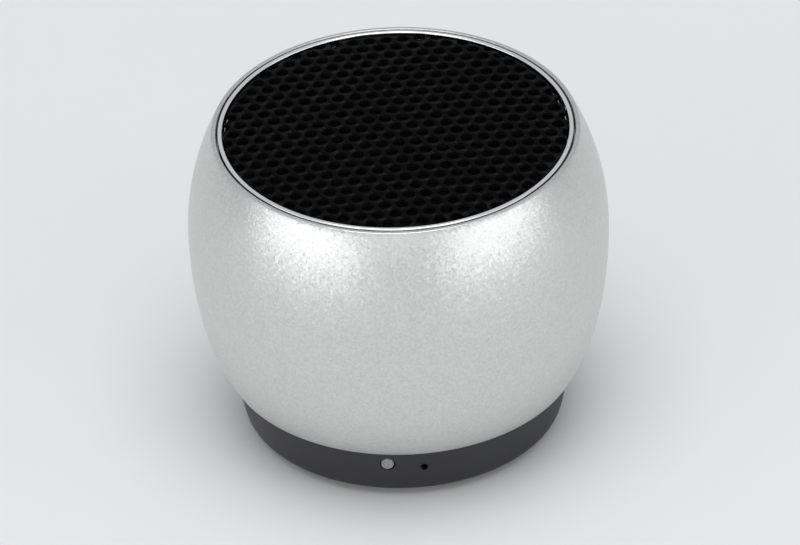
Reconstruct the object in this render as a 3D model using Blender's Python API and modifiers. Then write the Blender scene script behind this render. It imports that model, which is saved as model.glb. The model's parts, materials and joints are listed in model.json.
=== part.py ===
"""Round desktop speaker, 46 mm across and 37 mm high, as an assembly of separate pieces.

Z is up. The speaker stands on its foot ring at Z = 0, the USB socket is at the back (+Y) and the
status light is at the front (-Y). The driver fires upwards through the grille.
"""
import math

import bmesh
import bpy
from mathutils import Matrix, Vector

MM = 0.001

# Overall
TURN_STEPS = 36                 # facets round a large turned piece
CORE_STEPS = 24                 # facets round the driver's coil and magnet
SMALL_STEPS = 12                # facets round a pin, hole or screw
SEAT_GAP = 0.1 * MM             # air between two pieces that rest on each other

# Shell outline: an elliptical lower half and a circular shoulder meet at the belly
BELLY_RADIUS = 23.0 * MM
BELLY_Z = 24.0 * MM
SHOULDER_ARC = 28.4 * MM
LOWER_CORE = 16.0 * MM
LOWER_DROP = 19.5 * MM
SHELL_TOP = 36.7 * MM
SHELL_BOTTOM = 7.0 * MM
SHELL_WALL = 1.8 * MM
RIM_BORE = 19.55 * MM           # counterbore that takes the polished bezel
RIM_FLOOR = 35.2 * MM
DRIVER_BORE = 18.3 * MM
LEDGE_BORE = 16.3 * MM          # ledge that carries the driver
LEDGE_TOP = 31.8 * MM
LEDGE_BOTTOM = 30.1 * MM
COLLAR_BORE = 17.7 * MM         # opening that takes the base's spigot
COLLAR_TOP = 10.4 * MM

# Screw places, seen from above
BASE_SCREW_RING = 14.2 * MM
BASE_SCREW_ANGLES = (0, 120, 240)
BOARD_SCREW_RING = 13.6 * MM
BOARD_SCREW_ANGLES = (60, 180, 300)
LUG_RADIUS = 2.2 * MM
LUG_BOTTOM = 10.0 * MM
LUG_TOP = 12.9 * MM

# Grille
BEZEL_OUTER = 19.35 * MM
BEZEL_INNER = 18.85 * MM
BEZEL_TOP = 36.75 * MM
BEZEL_BOTTOM = 35.35 * MM
LIP_BORE = 17.9 * MM
LIP_TOP = 35.75 * MM
MESH_RADIUS = 18.7 * MM
MESH_BOTTOM = 36.05 * MM
MESH_THICKNESS = 0.45 * MM
SCRIM_BOTTOM = 35.82 * MM
SCRIM_THICKNESS = 0.15 * MM
GRILLE_CROWN = 0.5 * MM         # how far the middle of the grille stands above its edge

# Driver
FLANGE_OUTER = 18.0 * MM
FLANGE_TOP = 33.1 * MM
GASKET_OUTER = 18.1 * MM
SURROUND_MID = 13.7 * MM
SURROUND_HALF = 1.5 * MM
SURROUND_RISE = 1.3 * MM
SURROUND_SKIN = 0.25 * MM
CONE_OUTER = 12.2 * MM
CONE_INNER = 6.5 * MM
CONE_DEPTH = 3.35 * MM
CONE_RIM = 33.1 * MM
CONE_SKIN = 0.45 * MM
CAP_RADIUS = 6.9 * MM
CAP_BOTTOM = 30.3 * MM
CAP_RISE = 2.0 * MM
SPIDER_INNER = 6.5 * MM
SPIDER_OUTER = 12.3 * MM
SPIDER_Z = 28.15 * MM
YOKE_RADIUS = 8.8 * MM
YOKE_BOTTOM = 20.6 * MM
YOKE_TOP = 25.7 * MM

# Battery and its tray
CELL_SIDE = 20.0 * MM
CELL_BOTTOM = 13.1 * MM
CELL_HEIGHT = 6.0 * MM
TRAY_RADIUS = 15.9 * MM
TRAY_BOTTOM = 11.8 * MM
TRAY_TOP = 12.8 * MM
TRAY_WALL_TOP = 16.5 * MM
CELL_GAP = 0.3 * MM
TRAY_WALL = 1.0 * MM

# Circuit board
BOARD_RADIUS = 16.0 * MM
BOARD_BOTTOM = 5.8 * MM
BOARD_TOP = 6.8 * MM

# Base
BAND_TOP = 6.8 * MM
BAND_TOP_RADIUS = 18.5 * MM
BAND_BOTTOM_RADIUS = 17.4 * MM
BASE_BOTTOM = 1.0 * MM
FLOOR_TOP = 2.6 * MM
CUP_BORE = 16.2 * MM
SPIGOT_RADIUS = 17.5 * MM
SPIGOT_TOP = 9.6 * MM
FOOT_INNER = 12.3 * MM
FOOT_OUTER = 16.1 * MM
FOOT_TOP = 1.8 * MM
FIT = 0.2 * MM                  # side clearance between the base and what sits in it
SCREW_POST = 2.4 * MM
SCREW_POST_TOP = 9.7 * MM
BOARD_POST = 1.8 * MM
BOARD_POST_TOP = 5.7 * MM

# Button, light, microphone and socket
BUTTON_RADIUS = 4.4 * MM
BUTTON_HOLE = 4.7 * MM
BUTTON_FACE = 0.9 * MM
LIGHT_X = -2.0 * MM
LIGHT_Z = 4.9 * MM
LIGHT_RADIUS = 0.7 * MM
MIC_X = 2.0 * MM
MIC_Z = 4.2 * MM
MIC_RADIUS = 1.45 * MM
JACK_WIDTH = 7.5 * MM
JACK_BOTTOM = 3.1 * MM
JACK_HEIGHT = 2.6 * MM
JACK_BACK = 12.4 * MM
JACK_FRONT = 17.6 * MM
JACK_WALL = 0.3 * MM
SLOT_HALF = 5.0 * MM            # half width of the slot in the base wall for the socket
SLOT_FLOOR = 2.75 * MM

# Wires
WIRE_RADIUS = 0.45 * MM
WIRE_SPREAD = 0.75 * MM         # half the distance between the two wires of a pair
BATTERY_LEAD_ANGLE = -90
SPEAKER_LEAD_ANGLE = -28
# Routes of the two wire pairs in millimetres: distance from the axis, bearing in degrees, height
BATTERY_LEAD = (
    (13.8, -90, 8.4), (14.5, -90, 8.6), (15.0, -90, 9.6), (15.0, -90, 11.4), (14.9, -90, 13.4),
    (14.2, -90, 15.6), (12.8, -90, 17.2), (11.3, -90, 17.7), (10.3, -90, 17.7),
)
SPEAKER_LEAD = (
    (14.2, -28, 8.4), (14.9, -28, 8.7), (15.2, -28, 9.8), (15.2, -28, 11.6), (15.2, -28, 13.6),
    (15.6, -27, 16.2), (15.9, -24, 19.2), (15.8, -18, 22.0), (15.1, -12, 24.1),
    (14.0, -8, 25.1), (12.9, -5.5, 25.25),
)

FINISHES = {
    "satin_aluminium": ((0.78, 0.78, 0.77), 0.32, 1.0),
    "polished_ring": ((0.90, 0.90, 0.91), 0.08, 1.0),
    "black_mesh": ((0.015, 0.015, 0.016), 0.45, 0.0),
    "black_cloth": ((0.010, 0.010, 0.010), 0.95, 0.0),
    "black_plastic": ((0.020, 0.020, 0.022), 0.45, 0.0),
    "black_rubber": ((0.030, 0.030, 0.032), 0.80, 0.0),
    "grey_foam": ((0.090, 0.090, 0.095), 0.95, 0.0),
    "zinc_steel": ((0.62, 0.63, 0.64), 0.35, 1.0),
    "paper_cone": ((0.035, 0.035, 0.037), 0.80, 0.0),
    "phenolic_cloth": ((0.62, 0.33, 0.08), 0.80, 0.0),
    "copper": ((0.80, 0.36, 0.16), 0.30, 1.0),
    "magnet_nickel": ((0.66, 0.64, 0.60), 0.22, 1.0),
    "board_green": ((0.015, 0.130, 0.055), 0.40, 0.0),
    "chip_black": ((0.025, 0.025, 0.027), 0.55, 0.0),
    "ceramic_tan": ((0.55, 0.42, 0.28), 0.50, 0.0),
    "socket_nylon": ((0.82, 0.80, 0.74), 0.50, 0.0),
    "cell_foil": ((0.72, 0.73, 0.75), 0.38, 1.0),
    "tray_grey": ((0.20, 0.20, 0.21), 0.55, 0.0),
    "clear_pipe": ((0.85, 0.88, 0.90), 0.12, 0.0),
    "wire_red": ((0.60, 0.020, 0.015), 0.45, 0.0),
    "wire_black": ((0.020, 0.020, 0.020), 0.45, 0.0),
}


def clear_scene():
    for old in list(bpy.data.objects):
        bpy.data.objects.remove(old, do_unlink=True)


def new_collection(name):
    group = bpy.data.collections.new(name)
    bpy.context.scene.collection.children.link(group)
    return group


def make_material(name):
    colour, roughness, metallic = FINISHES[name]
    material = bpy.data.materials.new(name)
    material.use_nodes = True
    shader = material.node_tree.nodes["Principled BSDF"]
    shader.inputs["Base Color"].default_value = (*colour, 1.0)
    shader.inputs["Roughness"].default_value = roughness
    shader.inputs["Metallic"].default_value = metallic
    return material


def place(obj, finish):
    """Put a piece in the speaker's collection, under its empty, with its own material."""
    for group in obj.users_collection:
        group.objects.unlink(obj)
    SPEAKER.objects.link(obj)
    obj.parent = STAND
    obj.data.materials.clear()
    obj.data.materials.append(make_material(finish))
    if obj.type == "MESH":
        obj.data.shade_smooth()
    return obj


def as_tool(obj):
    """Keep a shape as a Boolean's tool only."""
    for group in obj.users_collection:
        group.objects.unlink(obj)
    TOOLS.objects.link(obj)
    obj.hide_render = True
    obj.display_type = "WIRE"
    return obj


def combine(target, tool, operation):
    step = target.modifiers.new(operation.lower(), "BOOLEAN")
    step.operation = operation
    step.solver = "EXACT"
    step.object = as_tool(tool)


def cylinder(name, radius, bottom, top, spot=(0.0, 0.0), steps=TURN_STEPS):
    centre = (spot[0], spot[1], (bottom + top) / 2)
    bpy.ops.mesh.primitive_cylinder_add(
        vertices=steps, radius=radius, depth=top - bottom, location=centre
    )
    obj = bpy.context.object
    obj.name = name
    return obj


def bar(name, radius, start, end, x, z, steps=SMALL_STEPS):
    """A cylinder that lies along Y, from start to end."""
    bpy.ops.mesh.primitive_cylinder_add(
        vertices=steps, radius=radius, depth=abs(end - start),
        location=(x, (start + end) / 2, z), rotation=(math.pi / 2, 0, 0),
    )
    obj = bpy.context.object
    obj.name = name
    return obj


def block(name, low, high, turn=0.0, pivot=None):
    """A box between two corners, or one centred on a pivot and turned about Z."""
    low, high = Vector(low), Vector(high)
    bpy.ops.mesh.primitive_cube_add(size=1.0)
    obj = bpy.context.object
    obj.name = name
    obj.data.transform(Matrix.Diagonal((*(high - low), 1.0)))
    obj.location = (low + high) / 2
    if pivot is not None:
        obj.location += Vector(pivot)
        obj.rotation_euler = (0, 0, turn)
    return obj


def turned(name, profile, steps=TURN_STEPS):
    """A turned piece. Its profile of (radius, height) pairs runs down the outer side first."""
    mesh = bpy.data.meshes.new(name)
    edges = [(i, i + 1) for i in range(len(profile) - 1)]
    if profile[0][0] > 0:
        edges.append((len(profile) - 1, 0))
    mesh.from_pydata([(radius, 0, height) for radius, height in profile], edges, [])
    obj = bpy.data.objects.new(name, mesh)
    SPEAKER.objects.link(obj)
    screw = obj.modifiers.new("turn", "SCREW")
    screw.axis = "Z"
    screw.angle = 2 * math.pi
    screw.steps = steps
    screw.render_steps = steps
    screw.use_merge_vertices = True
    screw.merge_threshold = 0.00001
    screw.use_smooth_shade = True
    return obj


def ring(name, inner, outer, bottom, top, steps=TURN_STEPS):
    return turned(name, [(outer, top), (outer, bottom), (inner, bottom), (inner, top)], steps)


def polar(radius, degrees):
    angle = math.radians(degrees)
    return Vector((radius * math.cos(angle), radius * math.sin(angle)))


def spots(radius, angles):
    return [polar(radius, degrees) for degrees in angles]


def pegs(name, places, radius, bottom, top):
    """Upright cylinders of one size at several places, as one shape."""
    shape = bmesh.new()
    for x, y in places:
        middle = Matrix.Translation((x, y, (bottom + top) / 2))
        bmesh.ops.create_cone(
            shape, cap_ends=True, segments=SMALL_STEPS, radius1=radius, radius2=radius,
            depth=top - bottom, matrix=middle,
        )
    mesh = bpy.data.meshes.new(name)
    shape.to_mesh(mesh)
    shape.free()
    obj = bpy.data.objects.new(name, mesh)
    SPEAKER.objects.link(obj)
    return obj


def spokes(name, angles, inner, outer, half_width, bottom, top):
    """Radial bars between two radii, as one shape."""
    shape = bmesh.new()
    size = Matrix.Diagonal((outer - inner, 2 * half_width, top - bottom, 1.0))
    middle = Matrix.Translation(((inner + outer) / 2, 0, (bottom + top) / 2))
    for degrees in angles:
        turn = Matrix.Rotation(math.radians(degrees), 4, "Z")
        bmesh.ops.create_cube(shape, size=1.0, matrix=turn @ middle @ size)
    mesh = bpy.data.meshes.new(name)
    shape.to_mesh(mesh)
    shape.free()
    obj = bpy.data.objects.new(name, mesh)
    SPEAKER.objects.link(obj)
    return obj


def belly(z):
    """Outer radius of the shell at a height."""
    if z < BELLY_Z:
        fall = (BELLY_Z - z) / LOWER_DROP
        return LOWER_CORE + (BELLY_RADIUS - LOWER_CORE) * math.sqrt(1 - fall * fall)
    return BELLY_RADIUS - SHOULDER_ARC + math.sqrt(SHOULDER_ARC ** 2 - (z - BELLY_Z) ** 2)


def levels(start, end, count):
    return [start + (end - start) * i / count for i in range(count + 1)]


def crown(radius):
    """Height of the grille's slight dome above its edge."""
    return GRILLE_CROWN * (1 - (radius / MESH_RADIUS) ** 2)


def domed_disc(name, radius, bottom, thickness):
    radii = levels(0, radius, 2)
    top = [(r, bottom + thickness + crown(r)) for r in radii]
    under = [(r, bottom + crown(r)) for r in reversed(radii)]
    return turned(name, top + under)


def make_shell():
    top_edge = 0.15 * MM
    outside = [(belly(SHELL_TOP) - top_edge, SHELL_TOP), (belly(SHELL_TOP), SHELL_TOP - top_edge)]
    shoulder = levels(35.0 * MM, BELLY_Z, 4)
    outside += [(belly(z), z) for z in shoulder + levels(BELLY_Z, SHELL_BOTTOM, 5)[1:]]
    cavity_levels = levels(COLLAR_TOP, LEDGE_BOTTOM, 5)
    inside = [(COLLAR_BORE, SHELL_BOTTOM), (COLLAR_BORE, COLLAR_TOP)]
    inside += [(belly(z) - SHELL_WALL, z) for z in cavity_levels]
    inside += [(LEDGE_BORE, LEDGE_BOTTOM), (LEDGE_BORE, LEDGE_TOP)]
    inside += [(DRIVER_BORE, LEDGE_TOP), (DRIVER_BORE, RIM_FLOOR)]
    inside += [(RIM_BORE, RIM_FLOOR), (RIM_BORE, SHELL_TOP)]
    shell = turned("shell", outside + inside)
    lug_places = spots(BASE_SCREW_RING, BASE_SCREW_ANGLES)
    arm_end = belly(LUG_BOTTOM) - SHELL_WALL / 2
    arms = spokes("lug_arms", BASE_SCREW_ANGLES, BASE_SCREW_RING, arm_end, LUG_RADIUS,
                  LUG_BOTTOM, LUG_TOP)
    combine(shell, arms, "UNION")
    combine(shell, pegs("lugs", lug_places, LUG_RADIUS, LUG_BOTTOM, LUG_TOP), "UNION")
    threads = pegs("lug_threads", lug_places, 1.1 * MM, LUG_BOTTOM - MM, LUG_TOP + MM)
    combine(shell, threads, "DIFFERENCE")
    place(shell, "satin_aluminium")


def make_grille():
    edge = 0.12 * MM
    bezel = turned("grille_bezel", [
        (BEZEL_OUTER - edge, BEZEL_TOP), (BEZEL_OUTER, BEZEL_TOP - edge),
        (BEZEL_OUTER, BEZEL_BOTTOM), (LIP_BORE, BEZEL_BOTTOM), (LIP_BORE, LIP_TOP),
        (BEZEL_INNER, LIP_TOP), (BEZEL_INNER, BEZEL_TOP - 2 * edge),
        (BEZEL_INNER + edge, BEZEL_TOP),
    ])
    place(bezel, "polished_ring")
    mesh = domed_disc("grille_mesh", MESH_RADIUS, MESH_BOTTOM, MESH_THICKNESS)
    place(mesh, "black_mesh")
    scrim = domed_disc("dust_scrim", MESH_RADIUS - 0.1 * MM, SCRIM_BOTTOM, SCRIM_THICKNESS)
    place(scrim, "black_cloth")
    gasket = ring("grille_gasket", 17.0 * MM, GASKET_OUTER, FLANGE_TOP + SEAT_GAP, 35.15 * MM)
    place(gasket, "grey_foam")


def make_driver_frame():
    frame = turned("driver_frame", [
        (FLANGE_OUTER, FLANGE_TOP), (FLANGE_OUTER, 32.5 * MM), (16.0 * MM, 32.5 * MM),
        (15.6 * MM, 30.5 * MM), (13.5 * MM, 28.4 * MM), (13.3 * MM, 27.2 * MM),
        (12.3 * MM, 27.2 * MM), (12.0 * MM, 25.8 * MM), (7.4 * MM, 25.8 * MM),
        (7.4 * MM, 26.3 * MM), (11.4 * MM, 26.3 * MM), (11.6 * MM, 27.8 * MM),
        (12.8 * MM, 27.8 * MM), (13.0 * MM, 28.7 * MM), (15.0 * MM, 30.8 * MM),
        (15.2 * MM, FLANGE_TOP),
    ])
    windows = spokes("basket_windows", (45, 135, 225, 315), 10.0 * MM, 17.0 * MM, 3.2 * MM,
                     28.9 * MM, 31.6 * MM)
    combine(frame, windows, "DIFFERENCE")
    place(frame, "zinc_steel")
    gasket = ring("driver_gasket", 16.5 * MM, GASKET_OUTER, LEDGE_TOP + SEAT_GAP, 32.4 * MM)
    place(gasket, "grey_foam")
    terminal = block("terminal_board", (9.3 * MM, -3 * MM, 24.9 * MM),
                     (12.5 * MM, 3 * MM, 25.6 * MM))
    place(terminal, "phenolic_cloth")


def make_surround():
    """Half-roll edge between the frame's flange and the cone."""
    foot_bottom = FLANGE_TOP + SEAT_GAP
    foot_top = foot_bottom + SURROUND_SKIN

    def roll(half_width, rise, base, turns):
        return [
            (SURROUND_MID + half_width * math.cos(turn), base + rise * math.sin(turn))
            for turn in turns
        ]

    outward = levels(math.pi, 0, 6)
    inward = levels(0, math.pi, 6)
    under = roll(SURROUND_HALF - SURROUND_SKIN, SURROUND_RISE - SURROUND_SKIN, foot_bottom, inward)
    over = roll(SURROUND_HALF, SURROUND_RISE - SURROUND_SKIN, foot_top, outward)
    profile = [(16.8 * MM, foot_top), (16.8 * MM, foot_bottom)] + under
    profile += [(11.6 * MM, foot_bottom), (11.6 * MM, foot_top)] + over
    place(turned("cone_surround", profile), "black_rubber")


def cone_height(radius):
    """Top face of the cone, which steepens towards its neck."""
    share = (radius - CONE_INNER) / (CONE_OUTER - CONE_INNER)
    return CONE_RIM - CONE_DEPTH * (1 - share ** 0.85)


def make_moving_driver():
    radii = levels(CONE_INNER, CONE_OUTER, 3)
    top = [(r, cone_height(r)) for r in radii]
    under = [(r, z - CONE_SKIN) for r, z in reversed(top)]
    place(turned("speaker_cone", under + top), "paper_cone")
    arc = levels(0, math.pi / 2, 4)
    skin = 0.3 * MM
    outside = [
        (CAP_RADIUS * math.sin(a), CAP_BOTTOM + CAP_RISE * math.cos(a)) for a in arc
    ]
    inside = [
        ((CAP_RADIUS - skin) * math.sin(a), CAP_BOTTOM + (CAP_RISE - skin) * math.cos(a))
        for a in reversed(arc)
    ]
    place(turned("dust_cap", outside + inside, CORE_STEPS), "paper_cone")
    former = ring("coil_former", 6.2 * MM, 6.35 * MM, 23.4 * MM, 29.8 * MM, CORE_STEPS)
    place(former, "phenolic_cloth")
    coil = ring("voice_coil", 6.4 * MM, 6.8 * MM, 23.7 * MM, 26.7 * MM, CORE_STEPS)
    place(coil, "copper")


def make_spider():
    """Corrugated disc that centres the coil."""
    folds = 4
    wave = 0.15 * MM
    skin = 0.2 * MM
    radii = levels(SPIDER_INNER, SPIDER_OUTER, 2 * folds)
    wavy = [(r, SPIDER_Z + wave * math.sin(i * math.pi / 2)) for i, r in enumerate(radii)]
    over = [(r, z + skin / 2) for r, z in wavy]
    under = [(r, z - skin / 2) for r, z in reversed(wavy)]
    place(turned("spider", under + over), "phenolic_cloth")


def make_magnet():
    floor_top = YOKE_BOTTOM + 1.5 * MM
    gap_radius = 7.2 * MM
    corner = 0.5 * MM
    yoke = turned("magnet_yoke", [
        (0, floor_top), (gap_radius, floor_top), (gap_radius, YOKE_TOP), (YOKE_RADIUS, YOKE_TOP),
        (YOKE_RADIUS, YOKE_BOTTOM + corner), (YOKE_RADIUS - corner, YOKE_BOTTOM), (0, YOKE_BOTTOM),
    ], CORE_STEPS)
    place(yoke, "zinc_steel")
    magnet_bottom = floor_top + SEAT_GAP
    magnet_top = magnet_bottom + 2.4 * MM
    magnet = cylinder("magnet", 5.8 * MM, magnet_bottom, magnet_top, steps=CORE_STEPS)
    place(magnet, "magnet_nickel")
    plate_bottom = magnet_top + SEAT_GAP
    plate = cylinder("pole_plate", 5.9 * MM, plate_bottom, YOKE_TOP, steps=CORE_STEPS)
    place(plate, "zinc_steel")


def rounded(obj, width, segments=2):
    bevel = obj.modifiers.new("rounded edges", "BEVEL")
    bevel.width = width
    bevel.segments = segments
    return obj


def make_battery():
    half = CELL_SIDE / 2
    cell_top = CELL_BOTTOM + CELL_HEIGHT
    cell = block("battery_cell", (-half, -half, CELL_BOTTOM), (half, half, cell_top))
    place(rounded(cell, 0.8 * MM), "cell_foil")
    pad_half = 8.0 * MM
    pad = block("battery_pad", (-pad_half, -pad_half, cell_top + SEAT_GAP),
                (pad_half, pad_half, YOKE_BOTTOM - 0.2 * MM))
    place(pad, "grey_foam")


def make_tray():
    tray = cylinder("battery_tray", TRAY_RADIUS, TRAY_BOTTOM, TRAY_TOP)
    inner = CELL_SIDE / 2 + CELL_GAP
    outer = inner + TRAY_WALL
    side, stop = 9.0 * MM, 3.0 * MM
    sink = TRAY_TOP - TRAY_WALL / 2
    for index, (half_x, half_y) in enumerate(((outer, side), (stop, outer))):
        for sign in (-1, 1):
            low = [-half_x, -half_y, sink]
            high = [half_x, half_y, TRAY_WALL_TOP]
            low[index], high[index] = sorted((sign * inner, sign * outer))
            combine(tray, block("tray_wall", low, high), "UNION")
    legs = spots(BOARD_SCREW_RING, BOARD_SCREW_ANGLES)
    leg_bottom = BOARD_TOP + SEAT_GAP
    combine(tray, pegs("tray_legs", legs, 1.7 * MM, leg_bottom, TRAY_TOP - TRAY_WALL / 2), "UNION")
    combine(tray, pegs("tray_leg_holes", legs, 0.95 * MM, leg_bottom - MM, TRAY_TOP + MM),
            "DIFFERENCE")
    lug_clearance = LUG_RADIUS + 0.3 * MM
    below, above = TRAY_BOTTOM - MM, TRAY_TOP + MM
    notch = pegs("lug_notches", spots(BASE_SCREW_RING, BASE_SCREW_ANGLES), lug_clearance,
                 below, above)
    combine(tray, notch, "DIFFERENCE")
    mouth = spokes("lug_notch_mouths", BASE_SCREW_ANGLES, BASE_SCREW_RING, TRAY_RADIUS + MM,
                   lug_clearance, below, above)
    combine(tray, mouth, "DIFFERENCE")
    wire_notch = spokes("wire_notches", (BATTERY_LEAD_ANGLE, SPEAKER_LEAD_ANGLE), 13.9 * MM,
                        TRAY_RADIUS + MM, 1.9 * MM, below, above)
    combine(tray, wire_notch, "DIFFERENCE")
    place(tray, "tray_grey")


def make_circuit_board():
    board = cylinder("circuit_board", BOARD_RADIUS, BOARD_BOTTOM, BOARD_TOP)
    below, above = BOARD_BOTTOM - MM, BOARD_TOP + MM
    posts = pegs("post_notches", spots(BASE_SCREW_RING, BASE_SCREW_ANGLES),
                 SCREW_POST + 0.3 * MM, below, above)
    combine(board, posts, "DIFFERENCE")
    holes = pegs("board_holes", spots(BOARD_SCREW_RING, BOARD_SCREW_ANGLES), 1.0 * MM,
                 below, above)
    combine(board, holes, "DIFFERENCE")
    place(board, "board_green")


# Name, finish, centre (x, y) and size (x, y, z) in millimetres of what is soldered on top
TOP_PARTS = (
    ("soc_chip", "chip_black", (-4.0, 1.0), (5.0, 5.0, 0.9)),
    ("amp_chip", "chip_black", (5.5, -1.0), (4.0, 5.0, 1.2)),
    ("charge_chip", "chip_black", (3.0, 10.5), (3.0, 3.0, 1.0)),
    ("crystal", "zinc_steel", (-9.5, 1.5), (3.2, 2.5, 0.8)),
    ("power_inductor", "chip_black", (1.5, 6.0), (4.0, 4.0, 2.0)),
    ("capacitor_1", "ceramic_tan", (8.0, 5.5), (3.5, 2.8, 1.9)),
    ("capacitor_2", "ceramic_tan", (5.5, -5.8), (3.5, 2.8, 1.9)),
    ("chip_antenna", "socket_nylon", (-9.0, -7.5), (2.0, 5.0, 1.2)),
)


def make_board_parts():
    top = BOARD_TOP + SEAT_GAP
    for name, finish, (x, y), (width, depth, tall) in TOP_PARTS:
        low = ((x - width / 2) * MM, (y - depth / 2) * MM, top)
        high = ((x + width / 2) * MM, (y + depth / 2) * MM, top + tall * MM)
        place(block(name, low, high), finish)
    half_deep, half_wide, tall = 1.5 * MM, 2.25 * MM, 3.0 * MM
    for name, radius, degrees in (
        ("battery_socket", 12.0 * MM, BATTERY_LEAD_ANGLE),
        ("speaker_socket", 12.4 * MM, SPEAKER_LEAD_ANGLE),
    ):
        x, y = polar(radius, degrees)
        socket = block(name, (-half_deep, -half_wide, top), (half_deep, half_wide, top + tall),
                       math.radians(degrees), (x, y, 0))
        place(socket, "socket_nylon")
    under = BOARD_BOTTOM - SEAT_GAP
    led = block("status_led", (LIGHT_X - 0.8 * MM, -13.8 * MM, LIGHT_Z - 0.4 * MM),
                (LIGHT_X + 0.8 * MM, -12.8 * MM, under))
    place(led, "socket_nylon")
    switch = block("switch_body", (-3 * MM, -3 * MM, under - 1.5 * MM), (3 * MM, 3 * MM, under))
    well = cylinder("plunger_well", 1.9 * MM, under - 3 * MM, under - 0.7 * MM, steps=SMALL_STEPS)
    combine(switch, well, "DIFFERENCE")
    place(switch, "chip_black")
    plunger = cylinder("switch_plunger", 1.6 * MM, 3.6 * MM, 4.6 * MM, steps=SMALL_STEPS)
    place(plunger, "socket_nylon")


def make_socket():
    """Micro-USB receptacle: a folded steel shell round a tongue, open at the back (+Y)."""
    half = JACK_WIDTH / 2
    top = JACK_BOTTOM + JACK_HEIGHT
    shell = block("usb_shell", (-half, JACK_BACK, JACK_BOTTOM), (half, JACK_FRONT, top))
    mouth = block("usb_mouth", (JACK_WALL - half, JACK_BACK + JACK_WALL, JACK_BOTTOM + JACK_WALL),
                  (half - JACK_WALL, JACK_FRONT + MM, top - JACK_WALL))
    combine(shell, mouth, "DIFFERENCE")
    place(shell, "zinc_steel")
    tongue_half = 1.85 * MM
    tongue_top = top - JACK_WALL - 0.6 * MM
    tongue = block("usb_tongue", (-tongue_half, JACK_BACK + 2 * JACK_WALL, tongue_top - 0.6 * MM),
                   (tongue_half, JACK_FRONT - 0.8 * MM, tongue_top))
    place(tongue, "black_plastic")


def band(z):
    """Outer radius of the base's visible band at a height."""
    share = (z - BASE_BOTTOM) / (BAND_TOP - BASE_BOTTOM)
    return BAND_BOTTOM_RADIUS + (BAND_TOP_RADIUS - BAND_BOTTOM_RADIUS) * share ** 0.6


def make_base_cover():
    edge = 0.2 * MM
    outside = [(SPIGOT_RADIUS - edge, SPIGOT_TOP), (SPIGOT_RADIUS, SPIGOT_TOP - edge)]
    outside += [(SPIGOT_RADIUS, BAND_TOP), (BAND_TOP_RADIUS - edge, BAND_TOP)]
    outside += [(band(z), z) for z in levels(BAND_TOP - edge, BASE_BOTTOM, 3)]
    groove_top = FOOT_TOP + SEAT_GAP
    groove = [(FOOT_OUTER + FIT, BASE_BOTTOM), (FOOT_OUTER + FIT, groove_top),
              (FOOT_INNER - FIT, groove_top), (FOOT_INNER - FIT, BASE_BOTTOM)]
    middle = [(BUTTON_HOLE + edge, BASE_BOTTOM), (BUTTON_HOLE, BASE_BOTTOM + edge),
              (BUTTON_HOLE, FLOOR_TOP)]
    inside = [(CUP_BORE, FLOOR_TOP), (CUP_BORE, SPIGOT_TOP)]
    base = turned("base_cover", outside + groove + middle + inside)
    sink = FLOOR_TOP - 0.3 * MM
    screw_places = spots(BASE_SCREW_RING, BASE_SCREW_ANGLES)
    board_places = spots(BOARD_SCREW_RING, BOARD_SCREW_ANGLES)
    combine(base, pegs("screw_posts", screw_places, SCREW_POST, sink, SCREW_POST_TOP), "UNION")
    combine(base, pegs("board_posts", board_places, BOARD_POST, sink, BOARD_POST_TOP), "UNION")
    above = SCREW_POST_TOP + MM
    combine(base, pegs("screw_holes", screw_places, 1.1 * MM, 0, above), "DIFFERENCE")
    combine(base, pegs("head_wells", screw_places, 1.85 * MM, 0, 3.4 * MM), "DIFFERENCE")
    combine(base, pegs("board_post_holes", board_places, 0.9 * MM, FLOOR_TOP + edge, above),
            "DIFFERENCE")
    slot = block("socket_slot", (-SLOT_HALF, CUP_BORE - MM, SLOT_FLOOR),
                 (SLOT_HALF, BAND_TOP_RADIUS + MM, above))
    combine(base, slot, "DIFFERENCE")
    front, back = -BAND_TOP_RADIUS - MM, -CUP_BORE + MM
    light_hole = bar("light_hole", LIGHT_RADIUS + 0.15 * MM, back, front, LIGHT_X, LIGHT_Z)
    combine(base, light_hole, "DIFFERENCE")
    mic_hole = bar("mic_hole", 0.4 * MM, back, front, MIC_X, MIC_Z)
    combine(base, mic_hole, "DIFFERENCE")
    place(base, "black_plastic")


def make_port_frame():
    """Saddle that drops over the socket and closes the slot in the base's wall."""
    low, high = SLOT_FLOOR + 0.15 * MM, BAND_TOP
    outside = [(band(z), z) for z in levels(high, low, 2)]
    frame = turned("port_frame", outside + [(CUP_BORE + SEAT_GAP, low), (CUP_BORE + SEAT_GAP, high)])
    half = SLOT_HALF - FIT
    keep = block("frame_width", (-half, 10 * MM, low - MM), (half, 20 * MM, high + MM))
    combine(frame, keep, "INTERSECT")
    jack_half = JACK_WIDTH / 2 + FIT
    jack_top = JACK_BOTTOM + JACK_HEIGHT + FIT
    room = block("jack_room", (-jack_half, 10 * MM, low - 2 * MM), (jack_half, 20 * MM, jack_top))
    combine(frame, room, "DIFFERENCE")
    place(frame, "black_plastic")


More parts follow.
